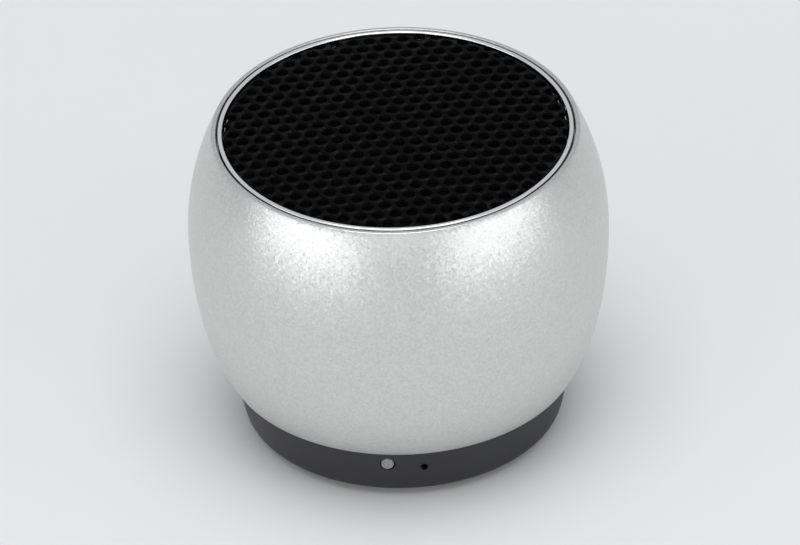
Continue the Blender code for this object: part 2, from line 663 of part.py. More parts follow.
def make_base_fittings():
    edge = 0.4 * MM
    place(turned("foot_ring", [
        (FOOT_OUTER, FOOT_TOP), (FOOT_OUTER, edge), (FOOT_OUTER - edge, 0),
        (FOOT_INNER + edge, 0), (FOOT_INNER, edge), (FOOT_INNER, FOOT_TOP),
    ]), "black_rubber")
    flange_bottom = FLOOR_TOP + SEAT_GAP
    flange_top = flange_bottom + 0.5 * MM
    stem_top = flange_top + 0.3 * MM
    place(turned("power_button", [
        (0, stem_top), (1.5 * MM, stem_top), (1.5 * MM, flange_top), (5.4 * MM, flange_top),
        (5.4 * MM, flange_bottom), (BUTTON_RADIUS, flange_bottom),
        (BUTTON_RADIUS, BUTTON_FACE + edge / 2), (BUTTON_RADIUS - edge / 2, BUTTON_FACE),
        (0, BUTTON_FACE),
    ], CORE_STEPS), "black_rubber")
    lens_front = -math.sqrt(band(LIGHT_Z) ** 2 - LIGHT_X ** 2)
    pipe = bar("light_pipe", LIGHT_RADIUS, -14.1 * MM, lens_front, LIGHT_X, LIGHT_Z)
    place(pipe, "clear_pipe")
    capsule_front = -14.7 * MM
    place(bar("microphone", MIC_RADIUS, -13.2 * MM, capsule_front, MIC_X, MIC_Z), "zinc_steel")
    boot = bar("mic_boot", MIC_RADIUS, capsule_front - SEAT_GAP, -15.6 * MM, MIC_X, MIC_Z)
    duct = bar("mic_duct", 0.4 * MM, -14 * MM, -17 * MM, MIC_X, MIC_Z)
    combine(boot, duct, "DIFFERENCE")
    place(boot, "black_rubber")


def make_screws():
    head, shank, edge = 1.7 * MM, 0.95 * MM, 0.2 * MM
    low = FOOT_TOP + 0.3 * MM
    for number, (x, y) in enumerate(spots(BASE_SCREW_RING, BASE_SCREW_ANGLES), 1):
        screw = turned(f"base_screw_{number}", [
            (0, 12.6 * MM), (shank - edge, 12.6 * MM), (shank, 12.6 * MM - 2 * edge),
            (shank, 3.3 * MM), (head, 3.3 * MM), (head, low + edge), (head - edge, low), (0, low),
        ], SMALL_STEPS)
        screw.location = (x, y, 0)
        place(screw, "zinc_steel")
    head, shank = 1.35 * MM, 0.75 * MM
    seat = TRAY_TOP + SEAT_GAP
    tip = 3.4 * MM
    for number, (x, y) in enumerate(spots(BOARD_SCREW_RING, BOARD_SCREW_ANGLES), 1):
        screw = turned(f"board_screw_{number}", [
            (0, seat + MM), (head - edge, seat + MM), (head, seat + MM - edge), (head, seat),
            (shank, seat), (shank, tip + 2 * edge), (shank - edge, tip), (0, tip),
        ], SMALL_STEPS)
        screw.location = (x, y, 0)
        place(screw, "zinc_steel")


def smooth_route(points, spacing):
    """Evenly spaced points on a Catmull-Rom curve through the route's own points."""
    ends = [2 * points[0] - points[1]] + points + [2 * points[-1] - points[-2]]
    fine = []
    for before, start, end, after in zip(ends, ends[1:], ends[2:], ends[3:]):
        for step in range(12):
            t = step / 12
            fine.append(0.5 * (
                2 * start + (end - before) * t
                + (2 * before - 5 * start + 4 * end - after) * t * t
                + (3 * start - before - 3 * end + after) * t ** 3
            ))
    fine.append(points[-1])
    lengths = [0.0]
    for near, far in zip(fine, fine[1:]):
        lengths.append(lengths[-1] + (far - near).length)
    count = max(2, round(lengths[-1] / spacing))
    even, index = [], 0
    for goal in levels(0, lengths[-1], count):
        while index < len(fine) - 2 and lengths[index + 1] < goal:
            index += 1
        share = (goal - lengths[index]) / (lengths[index + 1] - lengths[index])
        even.append(fine[index].lerp(fine[index + 1], share))
    return even


def make_wires():
    for pair, route in (("battery", BATTERY_LEAD), ("speaker", SPEAKER_LEAD)):
        for colour, side in (("red", 1), ("black", -1)):
            points = []
            for radius, degrees, height in route:
                x, y = polar(radius * MM, degrees)
                across = polar(side * WIRE_SPREAD, degrees + 90)
                points.append(Vector((x + across.x, y + across.y, height * MM)))
            even = smooth_route(points, 5 * WIRE_RADIUS)
            curve = bpy.data.curves.new(f"{pair}_wire_{colour}", "CURVE")
            curve.dimensions = "3D"
            curve.bevel_depth = WIRE_RADIUS
            curve.bevel_resolution = 2
            curve.use_fill_caps = True
            spline = curve.splines.new("POLY")
            spline.points.add(len(even) - 1)
            for knot, point in zip(spline.points, even):
                knot.co = (*point, 1.0)
            wire = bpy.data.objects.new(curve.name, curve)
            SPEAKER.objects.link(wire)
            place(wire, f"wire_{colour}")


clear_scene()
SPEAKER = new_collection("Desktop speaker")
TOOLS = new_collection("Cutting tools")
STAND = bpy.data.objects.new("speaker_origin", None)
SPEAKER.objects.link(STAND)

make_shell()
make_grille()
make_driver_frame()
make_surround()
make_moving_driver()
make_spider()
make_magnet()
make_battery()
make_tray()
make_circuit_board()
make_board_parts()
make_socket()
make_base_cover()
make_port_frame()
make_base_fittings()
make_screws()
make_wires()
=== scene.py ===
"""Finished look of a small round smart speaker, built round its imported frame."""
import json
import math

import bmesh
import bpy
from bpy.props import FloatProperty, FloatVectorProperty, IntProperty, PointerProperty
from mathutils import Matrix, Vector


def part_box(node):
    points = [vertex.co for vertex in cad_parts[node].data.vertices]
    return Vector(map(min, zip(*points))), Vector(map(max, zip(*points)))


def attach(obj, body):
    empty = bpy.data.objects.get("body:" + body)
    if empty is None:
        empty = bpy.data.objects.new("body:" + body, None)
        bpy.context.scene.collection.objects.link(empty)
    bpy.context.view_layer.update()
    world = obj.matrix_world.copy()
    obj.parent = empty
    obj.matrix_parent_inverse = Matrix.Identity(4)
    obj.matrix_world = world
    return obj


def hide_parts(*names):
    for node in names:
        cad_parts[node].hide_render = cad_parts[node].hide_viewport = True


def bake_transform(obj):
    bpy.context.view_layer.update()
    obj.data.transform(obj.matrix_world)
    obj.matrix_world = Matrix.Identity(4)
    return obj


bl_info = {
    "name": "Smart Speaker Maker",
    "version": (1, 0, 0),
    "blender": (4, 5, 0),
    "location": "View3D > Sidebar > Speaker",
    "description": "Makes a small round metal speaker with its driver, battery, board and base",
    "category": "Object",
}

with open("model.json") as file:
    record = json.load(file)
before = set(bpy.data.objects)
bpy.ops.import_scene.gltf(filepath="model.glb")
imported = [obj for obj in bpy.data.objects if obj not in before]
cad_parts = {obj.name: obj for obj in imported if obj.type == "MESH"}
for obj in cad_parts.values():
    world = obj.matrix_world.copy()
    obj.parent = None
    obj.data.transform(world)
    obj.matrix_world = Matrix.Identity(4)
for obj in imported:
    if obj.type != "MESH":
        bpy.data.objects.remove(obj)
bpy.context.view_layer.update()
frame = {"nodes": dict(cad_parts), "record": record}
MM = 0.001
FRONT = -90


def inner_radius(node):
    """Distance from the axis to the nearest point of a CAD node."""
    return min(math.hypot(v.co.x, v.co.y) for v in frame["nodes"][node].data.vertices)


def low(node):
    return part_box(node)[0]


def high(node):
    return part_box(node)[1]


# ---------------------------------------------------------------- sizes and colours a user may change

class SpeakerSizes(bpy.types.PropertyGroup):
    turn_segments: IntProperty(
        name="Turned segments", description="Facets round a large turned piece",
        default=144, min=24, max=256,
    )
    small_segments: IntProperty(
        name="Small segments", description="Facets round a pin, screw or hole",
        default=32, min=12, max=96,
    )
    edge_radius: FloatProperty(
        name="Edge radius", description="Rounding on the metal edges",
        default=0.00012, min=0.0, unit="LENGTH", precision=5,
    )
    hole_pitch: FloatProperty(
        name="Hole pitch", description="Distance between neighbouring holes of the grille",
        default=0.00185, min=0.0005, unit="LENGTH", precision=5,
    )
    hole_diameter: FloatProperty(
        name="Hole diameter", description="Diameter of the grille's holes",
        default=0.00140, min=0.0003, unit="LENGTH", precision=5,
    )
    grille_crown: FloatProperty(
        name="Grille crown", description="How far the middle of the grille stands above its edge",
        default=0.0005, min=0.0, unit="LENGTH", precision=5,
    )
    grille_turn: FloatProperty(
        name="Grille turn", description="How far the hole rows are turned from the front",
        default=math.radians(5.4), subtype="ANGLE",
    )
    thread_pitch: FloatProperty(
        name="Thread pitch", description="Pitch of the screws' threads",
        default=0.0004, min=0.0001, unit="LENGTH", precision=5,
    )


class SpeakerColours(bpy.types.PropertyGroup):
    shell: FloatVectorProperty(
        name="Shell", description="Colour of the satin aluminium",
        subtype="COLOR", size=3, min=0, max=1, default=(0.665, 0.665, 0.66),
    )
    bezel: FloatVectorProperty(
        name="Bezel", description="Colour of the polished ring",
        subtype="COLOR", size=3, min=0, max=1, default=(0.93, 0.93, 0.935),
    )
    grille: FloatVectorProperty(
        name="Grille", description="Enamel on the perforated disc",
        subtype="COLOR", size=3, min=0, max=1, default=(0.0022, 0.0022, 0.0024),
    )
    base: FloatVectorProperty(
        name="Base", description="Colour of the moulded base",
        subtype="COLOR", size=3, min=0, max=1, default=(0.018, 0.018, 0.020),
    )
    rubber: FloatVectorProperty(
        name="Rubber", description="Colour of the foot ring and the button",
        subtype="COLOR", size=3, min=0, max=1, default=(0.030, 0.030, 0.032),
    )
    board: FloatVectorProperty(
        name="Board", description="Colour of the solder mask",
        subtype="COLOR", size=3, min=0, max=1, default=(0.012, 0.115, 0.045),
    )
    floor: FloatVectorProperty(
        name="Floor", description="Colour of the floor",
        subtype="COLOR", size=3, min=0, max=1, default=(0.86, 0.86, 0.86),
    )


def sizes():
    return bpy.context.scene.speaker_sizes


def colours():
    return bpy.context.scene.speaker_colours


# ---------------------------------------------------------------- shader node helpers

def add(tree, kind, inputs=None, **settings):
    """Place a node, set its properties, then set or link its inputs by name or number."""
    made = tree.nodes.new(kind)
    for key, value in settings.items():
        setattr(made, key, value)
    for key, value in (inputs or {}).items():
        if isinstance(value, bpy.types.NodeSocket):
            tree.links.new(value, made.inputs[key])
        else:
            made.inputs[key].default_value = value
    return made


def maths(tree, operation, a, b=0.5, clamp=False):
    return add(tree, "ShaderNodeMath", {0: a, 1: b}, operation=operation, use_clamp=clamp).outputs[0]


def vector_maths(tree, operation, *inputs):
    made = add(tree, "ShaderNodeVectorMath", dict(enumerate(inputs)), operation=operation)
    return made.outputs[0]


def remap(tree, value, low_in, high_in, low_out=0.0, high_out=1.0):
    return add(tree, "ShaderNodeMapRange", {
        "Value": value, "From Min": low_in, "From Max": high_in,
        "To Min": low_out, "To Max": high_out,
    }).outputs["Result"]


def blend_colour(tree, share, first, second, mode="MIX"):
    made = add(tree, "ShaderNodeMix", {"Factor": share}, data_type="RGBA", blend_type=mode)
    for socket, value in zip((6, 7), (first, second)):
        if isinstance(value, bpy.types.NodeSocket):
            tree.links.new(value, made.inputs[socket])
        else:
            made.inputs[socket].default_value = value
    return made.outputs[2]


def noise(tree, vector, scale, detail=2.0, roughness=0.5):
    return add(tree, "ShaderNodeTexNoise", {
        "Vector": vector, "Scale": scale, "Detail": detail, "Roughness": roughness,
    }).outputs["Fac"]


def cells(tree, vector, scale, **settings):
    return add(tree, "ShaderNodeTexVoronoi", {"Vector": vector, "Scale": scale}, **settings).outputs


def stripes(tree, vector, scale, direction):
    return add(tree, "ShaderNodeTexWave", {"Vector": vector, "Scale": scale},
               bands_direction=direction).outputs["Fac"]


def place_of(tree):
    return add(tree, "ShaderNodeTexCoord").outputs["Object"]


def effect(name, inputs, outputs, build):
    """A shared effect as a node group: named number inputs, named outputs, built once."""
    tree = bpy.data.node_groups.get(name)
    if tree:
        return tree
    tree = bpy.data.node_groups.new(name, "ShaderNodeTree")
    for label, default in inputs.items():
        socket = tree.interface.new_socket(name=label, in_out="INPUT", socket_type="NodeSocketFloat")
        socket.default_value = default
    for label, kind in outputs.items():
        tree.interface.new_socket(name=label, in_out="OUTPUT", socket_type=f"NodeSocket{kind}")
    entry = tree.nodes.new("NodeGroupInput")
    results = build(tree, entry.outputs)
    leave = tree.nodes.new("NodeGroupOutput")
    for label, result in results.items():
        tree.links.new(result, leave.inputs[label])
    return tree


def use(tree, group, **values):
    """Place a shared effect in a material with its own values."""
    made = tree.nodes.new("ShaderNodeGroup")
    made.node_tree = group
    for label, value in values.items():
        made.inputs[label.replace("_", " ")].default_value = value
    return made.outputs


# ---------------------------------------------------------------- shared effects

def blasted_fleck():
    """Bead-blasted metal: tiny facets that each catch the light a little differently."""
    def build(tree, given):
        spot = place_of(tree)
        facets = cells(tree, spot, given["Scale"])["Color"]
        fine = cells(tree, spot, maths(tree, "MULTIPLY", given["Scale"], 2.3))["Color"]
        middle, boost = (0.5, 0.5, 0.5), (6.0, 6.0, 6.0)
        shift = vector_maths(tree, "SUBTRACT", facets, middle)
        fine_shift = vector_maths(tree, "SUBTRACT", fine, middle)
        squared = vector_maths(tree, "MULTIPLY", shift, shift)
        cubed = vector_maths(tree, "MULTIPLY", squared, shift)
        both = vector_maths(tree, "MULTIPLY_ADD", cubed, boost, fine_shift)
        tilt = add(tree, "ShaderNodeVectorMath", {0: both, "Scale": given["Tilt"]},
                   operation="SCALE").outputs[0]
        normal = add(tree, "ShaderNodeNewGeometry").outputs["Normal"]
        unit = vector_maths(tree, "NORMALIZE", vector_maths(tree, "ADD", normal, tilt))
        grey = add(tree, "ShaderNodeRGBToBW", {"Color": facets}).outputs[0]
        cloud = noise(tree, spot, 130.0, 3.0)
        return {"Fleck": grey, "Cloud": cloud, "Normal": unit}
    return effect("Blasted fleck", {"Scale": 5200.0, "Tilt": 0.1},
                  {"Fleck": "Float", "Cloud": "Float", "Normal": "Vector"}, build)


def turning_marks():
    """Fine rings left by a lathe, round the Z axis, broken up by a slow wobble."""
    def build(tree, given):
        spot = place_of(tree)
        rings = add(tree, "ShaderNodeTexWave", {
            "Vector": spot, "Scale": given["Scale"], "Distortion": 0.6, "Detail": 2.0,
            "Detail Scale": 1.5,
        }, wave_type="RINGS", rings_direction="Z").outputs["Fac"]
        streaks = add(tree, "ShaderNodeMapping", {
            "Vector": spot, "Scale": (1.0, 1.0, 14.0),
        }).outputs[0]
        uneven = noise(tree, streaks, 420.0, 4.0, 0.65)
        return {"Height": maths(tree, "MULTIPLY", rings, uneven), "Streaks": uneven}
    return effect("Turning marks", {"Scale": 1400.0}, {"Height": "Float", "Streaks": "Float"}, build)


def edge_wear():
    """Mask that is 1 on exposed edges, thinned by noise."""
    def build(tree, given):
        sharp = add(tree, "ShaderNodeNewGeometry").outputs["Pointiness"]
        edge = remap(tree, sharp, 0.52, 0.60)
        patchy = remap(tree, noise(tree, place_of(tree), given["Scale"], 5.0, 0.65), 0.38, 0.62)
        worn = maths(tree, "MULTIPLY", edge, patchy)
        return {"Mask": maths(tree, "MULTIPLY", worn, given["Amount"], True)}
    return effect("Edge wear", {"Scale": 900.0, "Amount": 0.5}, {"Mask": "Float"}, build)


def moulded_grain():
    """Spark-eroded texture of a moulded surface."""
    def build(tree, given):
        spot = place_of(tree)
        fine = noise(tree, spot, given["Scale"], 3.0, 0.6)
        pit_scale = maths(tree, "MULTIPLY", given["Scale"], 0.55)
        pits = cells(tree, spot, pit_scale, feature="SMOOTH_F1")["Distance"]
        height = maths(tree, "ADD", fine, maths(tree, "MULTIPLY", pits, 0.6))
        handled = noise(tree, spot, 90.0, 3.0, 0.55)
        return {"Height": height, "Fine": fine, "Handled": handled}
    return effect("Moulded grain", {"Scale": 6000.0},
                  {"Height": "Float", "Fine": "Float", "Handled": "Float"}, build)


def settled_dust():
    """Thin dust on faces that look up."""
    def build(tree, given):
        normal = add(tree, "ShaderNodeNewGeometry").outputs["Normal"]
        up = add(tree, "ShaderNodeSeparateXYZ", {0: normal}).outputs["Z"]
        facing = remap(tree, up, 0.25, 0.95)
        motes = remap(tree, noise(tree, place_of(tree), 5200.0, 4.0, 0.75), 0.56, 0.78)
        drift = remap(tree, noise(tree, place_of(tree), 160.0, 2.0), 0.35, 0.75)
        laid = maths(tree, "MULTIPLY", maths(tree, "MULTIPLY", facing, motes), drift)
        return {"Mask": maths(tree, "MULTIPLY", laid, given["Amount"], True)}
    return effect("Settled dust", {"Amount": 0.3}, {"Mask": "Float"}, build)


def plain_weave():
    """Over-and-under weave in X and Y."""
    def build(tree, given):
        spot = place_of(tree)
        warp = stripes(tree, spot, given["Scale"], "X")
        weft = stripes(tree, spot, given["Scale"], "Y")
        higher = maths(tree, "MAXIMUM", warp, weft)
        both = maths(tree, "MULTIPLY", warp, weft)
        uneven = noise(tree, spot, 2600.0, 2.0)
        height = maths(tree, "SUBTRACT", higher, maths(tree, "MULTIPLY", both, 0.4))
        return {"Height": height, "Uneven": uneven}
    return effect("Plain weave", {"Scale": 1500.0}, {"Height": "Float", "Uneven": "Float"}, build)


# ---------------------------------------------------------------- materials

def new_material(name, colour, roughness, metallic=0.0, **fixed):
    """A Principled material. Values that are the same all over are set on its own sockets."""
    material = bpy.data.materials.new(name)
    material.use_nodes = True
    tree = material.node_tree
    shader = tree.nodes["Principled BSDF"]
    shader.inputs["Base Color"].default_value = (*colour, 1.0)
    shader.inputs["Roughness"].default_value = roughness
    shader.inputs["Metallic"].default_value = metallic
    for label, value in fixed.items():
        shader.inputs[label.replace("_", " ")].default_value = value
    material.diffuse_color = (*colour, 1.0)
    return material, tree, shader


def feed(tree, shader, **sockets):
    """Link values that change over the surface to the Principled's sockets."""
    for label, value in sockets.items():
        tree.links.new(value, shader.inputs[label.replace("_", " ")])


def bump(tree, shader, height, strength, distance):
    relief = add(tree, "ShaderNodeBump", {"Height": height, "Strength": strength, "Distance": distance})
    feed(tree, shader, Normal=relief.outputs["Normal"])


def shade(colour, factor):
    return (*(min(1.0, channel * factor) for channel in colour), 1.0)


def once(maker):
    """Make a material the first time it is asked for, and give the same one after that."""
    kept = {}

    def give():
        if not kept:
            kept["made"] = maker()
        return kept["made"]
    return give


@once
def satin_aluminium():
    colour = tuple(colours().shell)
    material, tree, shader = new_material("Satin aluminium", colour, 0.36, 1.0)
    fleck = use(tree, blasted_fleck(), Scale=4300.0, Tilt=0.11)
    tone = blend_colour(tree, fleck["Fleck"], shade(colour, 0.90), shade(colour, 1.08))
    cloudy = remap(tree, fleck["Cloud"], 0.3, 0.7)
    tone = blend_colour(tree, maths(tree, "MULTIPLY", cloudy, 0.06), tone, (0.72, 0.72, 0.73, 1.0))
    worn = use(tree, edge_wear(), Scale=1100.0, Amount=0.45)["Mask"]
    tone = blend_colour(tree, worn, tone, (0.95, 0.95, 0.95, 1.0))
    feed(tree, shader, Base_Color=tone)
    rough = remap(tree, fleck["Fleck"], 0.0, 1.0, 0.31, 0.41)
    rough = maths(tree, "SUBTRACT", rough, maths(tree, "MULTIPLY", worn, 0.16))
    feed(tree, shader, Roughness=rough, Normal=fleck["Normal"])
    return material


@once
def polished_metal():
    colour = tuple(colours().bezel)
    material, tree, shader = new_material("Polished ring", colour, 0.08, 1.0)
    marks = use(tree, turning_marks(), Scale=2600.0)
    rough = remap(tree, marks["Streaks"], 0.3, 0.75, 0.05, 0.17)
    feed(tree, shader, Roughness=rough)
    bump(tree, shader, marks["Height"], 0.10, 0.00001)
    return material


@once
def mesh_enamel():
    colour = tuple(colours().grille)
    material, tree, shader = new_material(
        "Black enamel", colour, 0.48, 0.0, Specular_IOR_Level=0.02
    )
    grain = use(tree, moulded_grain(), Scale=9000.0)
    dust = use(tree, settled_dust(), Amount=0.04)["Mask"]
    worn = use(tree, edge_wear(), Scale=1500.0, Amount=0.10)["Mask"]
    tone = blend_colour(tree, dust, shade(colour, 1.0), (0.16, 0.155, 0.15, 1.0))
    tone = blend_colour(tree, worn, tone, (0.12, 0.12, 0.12, 1.0))
    feed(tree, shader, Base_Color=tone)
    feed(tree, shader, Roughness=remap(tree, grain["Handled"], 0.3, 0.7, 0.42, 0.58))
    bump(tree, shader, grain["Height"], 0.25, 0.00002)
    return material


def moulded(name, colour, roughness, scale, wear=0.15, dust=0.12, depth=0.00003, **fixed):
    """Plastic or rubber with a moulded grain, rubbed edges and a little dust."""
    material, tree, shader = new_material(name, colour, roughness, **fixed)
    grain = use(tree, moulded_grain(), Scale=scale)
    worn = use(tree, edge_wear(), Scale=1300.0, Amount=wear)["Mask"]
    laid = use(tree, settled_dust(), Amount=dust)["Mask"]
    tone = blend_colour(tree, grain["Fine"], shade(colour, 0.82), shade(colour, 1.18))
    tone = blend_colour(tree, worn, tone, shade(tuple(0.5 * c + 0.25 for c in colour), 1.0))
    tone = blend_colour(tree, laid, tone, (0.42, 0.40, 0.37, 1.0))
    feed(tree, shader, Base_Color=tone)
    rough = remap(tree, grain["Handled"], 0.3, 0.7, roughness - 0.07, roughness + 0.08)
    rough = maths(tree, "ADD", rough, maths(tree, "MULTIPLY", laid, 0.3), True)
    feed(tree, shader, Roughness=rough)
    bump(tree, shader, grain["Height"], 0.35, depth)
    return material


@once
def base_plastic():
    return moulded("Black plastic", tuple(colours().base), 0.46, 5200.0, 0.02,
                   Specular_IOR_Level=0.45)


@once
def silicone():
    return moulded("Black silicone", tuple(colours().rubber), 0.72, 3600.0, 0.02, 0.30,
                   Specular_IOR_Level=0.35)


@once
def pale_ink():
    return moulded("Pale grey ink", (0.56, 0.56, 0.56), 0.6, 6000.0, 0.30, 0.10, 0.00001)


@once
def tray_plastic():
    return moulded("Grey plastic", (0.19, 0.19, 0.20), 0.5, 4800.0)


@once
def chip_epoxy():
    return moulded("Chip epoxy", (0.022, 0.022, 0.024), 0.52, 9000.0, 0.10, 0.05)


@once
def ferrite():
    return moulded("Ferrite", (0.055, 0.052, 0.050), 0.62, 7000.0, 0.25, 0.10)


@once
def tan_ceramic():
    return moulded("Capacitor ceramic", (0.52, 0.38, 0.23), 0.42, 7500.0, 0.10, 0.05, 0.00001)


@once
def natural_nylon():
    return moulded("Natural nylon", (0.80, 0.77, 0.69), 0.44, 4200.0, 0.05, 0.10,
                   Subsurface_Weight=0.15, Subsurface_Scale=0.001)


@once
def red_vinyl():
    return moulded("Red vinyl", (0.58, 0.016, 0.012), 0.38, 3000.0, 0.05, 0.08, 0.00001)


@once
def black_vinyl():
    return moulded("Black vinyl", (0.016, 0.016, 0.017), 0.38, 3000.0, 0.05, 0.12, 0.00001)


@once
def zinc_steel():
    material, tree, shader = new_material("Zinc-plated steel", (0.66, 0.67, 0.68), 0.32, 1.0)
    marks = use(tree, turning_marks(), Scale=900.0)
    fleck = use(tree, blasted_fleck(), Scale=1700.0, Tilt=0.02)
    worn = use(tree, edge_wear(), Scale=1200.0, Amount=0.5)["Mask"]
    tone = blend_colour(tree, fleck["Cloud"], (0.60, 0.61, 0.64, 1.0), (0.72, 0.72, 0.71, 1.0))
    tone = blend_colour(tree, worn, tone, (0.86, 0.86, 0.86, 1.0))
    feed(tree, shader, Base_Color=tone)
    rough = remap(tree, fleck["Fleck"], 0.0, 1.0, 0.24, 0.38)
    feed(tree, shader, Roughness=rough)
    bump(tree, shader, marks["Height"], 0.22, 0.00002)
    return material


@once
def nickel():
    material, tree, shader = new_material("Nickel plate", (0.68, 0.64, 0.58), 0.18, 1.0)
    fleck = use(tree, blasted_fleck(), Scale=900.0, Tilt=0.015)
    tone = blend_colour(tree, fleck["Cloud"], (0.62, 0.58, 0.52, 1.0), (0.74, 0.71, 0.66, 1.0))
    feed(tree, shader, Base_Color=tone)
    feed(tree, shader, Roughness=remap(tree, fleck["Cloud"], 0.3, 0.7, 0.12, 0.28))
    feed(tree, shader, Normal=fleck["Normal"])
    return material


@once
def gold_plate():
    material, tree, shader = new_material("Gold plate", (0.90, 0.66, 0.28), 0.22, 1.0)
    fleck = use(tree, blasted_fleck(), Scale=3000.0, Tilt=0.03)
    rough = remap(tree, fleck["Fleck"], 0.0, 1.0, 0.15, 0.30)
    feed(tree, shader, Roughness=rough, Normal=fleck["Normal"])
    return material


@once
def solder():
    material, tree, shader = new_material("Solder", (0.74, 0.75, 0.76), 0.25, 1.0)
    fleck = use(tree, blasted_fleck(), Scale=2500.0, Tilt=0.05)
    tone = blend_colour(tree, fleck["Cloud"], (0.62, 0.62, 0.63, 1.0), (0.82, 0.82, 0.83, 1.0))
    feed(tree, shader, Base_Color=tone)
    feed(tree, shader, Roughness=remap(tree, fleck["Fleck"], 0.0, 1.0, 0.18, 0.34))
    feed(tree, shader, Normal=fleck["Normal"])
    return material


@once
def copper_wire():
    material, tree, shader = new_material("Enamelled copper", (0.78, 0.30, 0.11), 0.25, 1.0,
                                          Coat_Roughness=0.08)
    marks = use(tree, turning_marks(), Scale=1100.0)
    tone = blend_colour(tree, marks["Streaks"], (0.66, 0.22, 0.07, 1.0), (0.86, 0.40, 0.17, 1.0))
    feed(tree, shader, Base_Color=tone)
    feed(tree, shader, Coat_Weight=remap(tree, marks["Streaks"], 0.3, 0.7, 0.7, 1.0))
    return material


@once
def foil_pouch():
    material, tree, shader = new_material("Foil pouch", (0.74, 0.75, 0.77), 0.34, 1.0)
    spot = place_of(tree)
    crease = noise(tree, spot, 260.0, 4.0, 0.55)
    fine = noise(tree, spot, 5200.0, 2.0)
    tone = blend_colour(tree, crease, (0.66, 0.67, 0.70, 1.0), (0.80, 0.80, 0.81, 1.0))
    feed(tree, shader, Base_Color=tone)
    feed(tree, shader, Roughness=remap(tree, fine, 0.3, 0.7, 0.26, 0.42))
    both = maths(tree, "ADD", crease, maths(tree, "MULTIPLY", fine, 0.06))
    bump(tree, shader, both, 0.35, 0.0002)
    return material


@once
def amber_tape():
    material, tree, shader = new_material("Amber tape", (0.62, 0.24, 0.02), 0.2, 0.0,
                                          Coat_Weight=0.5, Coat_Roughness=0.08)
    ripple = noise(tree, place_of(tree), 700.0, 3.0)
    tone = blend_colour(tree, ripple, (0.50, 0.17, 0.01, 1.0), (0.74, 0.33, 0.04, 1.0))
    feed(tree, shader, Base_Color=tone)
    feed(tree, shader, Roughness=remap(tree, ripple, 0.3, 0.7, 0.14, 0.28))
    bump(tree, shader, ripple, 0.25, 0.00005)
    return material


@once
def foam():
    material, tree, shader = new_material("Closed-cell foam", (0.075, 0.075, 0.080), 0.95, 0.0,
                                          Specular_IOR_Level=0.2)
    to_wall = cells(tree, place_of(tree), 3800.0, feature="DISTANCE_TO_EDGE")["Distance"]
    walls = remap(tree, to_wall, 0.0, 0.16)
    tone = blend_colour(tree, walls, (0.13, 0.13, 0.135, 1.0), (0.045, 0.045, 0.05, 1.0))
    feed(tree, shader, Base_Color=tone)
    feed(tree, shader, Roughness=remap(tree, walls, 0.0, 1.0, 0.80, 0.97))
    bump(tree, shader, walls, -0.6, 0.00012)
    return material


@once
def pulp_cone():
    material, tree, shader = new_material("Paper pulp", (0.030, 0.030, 0.032), 0.78, 0.0)
    spot = place_of(tree)
    drawn_out = add(tree, "ShaderNodeMapping", {
        "Vector": spot, "Rotation": (0.3, 0.7, 1.1), "Scale": (1.0, 3.5, 1.0),
    }).outputs[0]
    fibres = cells(tree, drawn_out, 1500.0, feature="DISTANCE_TO_EDGE")["Distance"]
    strands = remap(tree, fibres, 0.0, 0.2)
    pulp = noise(tree, spot, 2400.0, 5.0, 0.7)
    tone = blend_colour(tree, strands, (0.060, 0.060, 0.063, 1.0), (0.024, 0.024, 0.026, 1.0))
    feed(tree, shader, Base_Color=tone)
    feed(tree, shader, Roughness=remap(tree, pulp, 0.3, 0.7, 0.66, 0.90))
    bump(tree, shader, maths(tree, "ADD", pulp, maths(tree, "MULTIPLY", strands, -0.3)), 0.5, 0.00006)
    return material


def woven(name, colour, scale, roughness, depth, gloss):
    material, tree, shader = new_material(name, colour, roughness, 0.0, Specular_IOR_Level=gloss)
    weave = use(tree, plain_weave(), Scale=scale)
    tone = blend_colour(tree, weave["Height"], shade(colour, 0.35), shade(colour, 1.25))
    tone = blend_colour(tree, maths(tree, "MULTIPLY", weave["Uneven"], 0.3), tone, shade(colour, 0.7))
    feed(tree, shader, Base_Color=tone)
    rough = remap(tree, weave["Uneven"], 0.3, 0.7, roughness - 0.08, roughness + 0.04)
    feed(tree, shader, Roughness=rough)
    bump(tree, shader, weave["Height"], 0.7, depth)
    return material


@once
def scrim_cloth():
    return woven("Acoustic cloth", (0.0026, 0.0026, 0.0028), 1900.0, 0.92, 0.00008, 0.03)


@once
def resin_cloth():
    return woven("Resin-dipped cloth", (0.60, 0.29, 0.06), 1300.0, 0.60, 0.00010, 0.3)


@once
def phenolic():
    return moulded("Phenolic board", (0.36, 0.17, 0.06), 0.42, 5000.0, 0.1, 0.08, 0.00001)


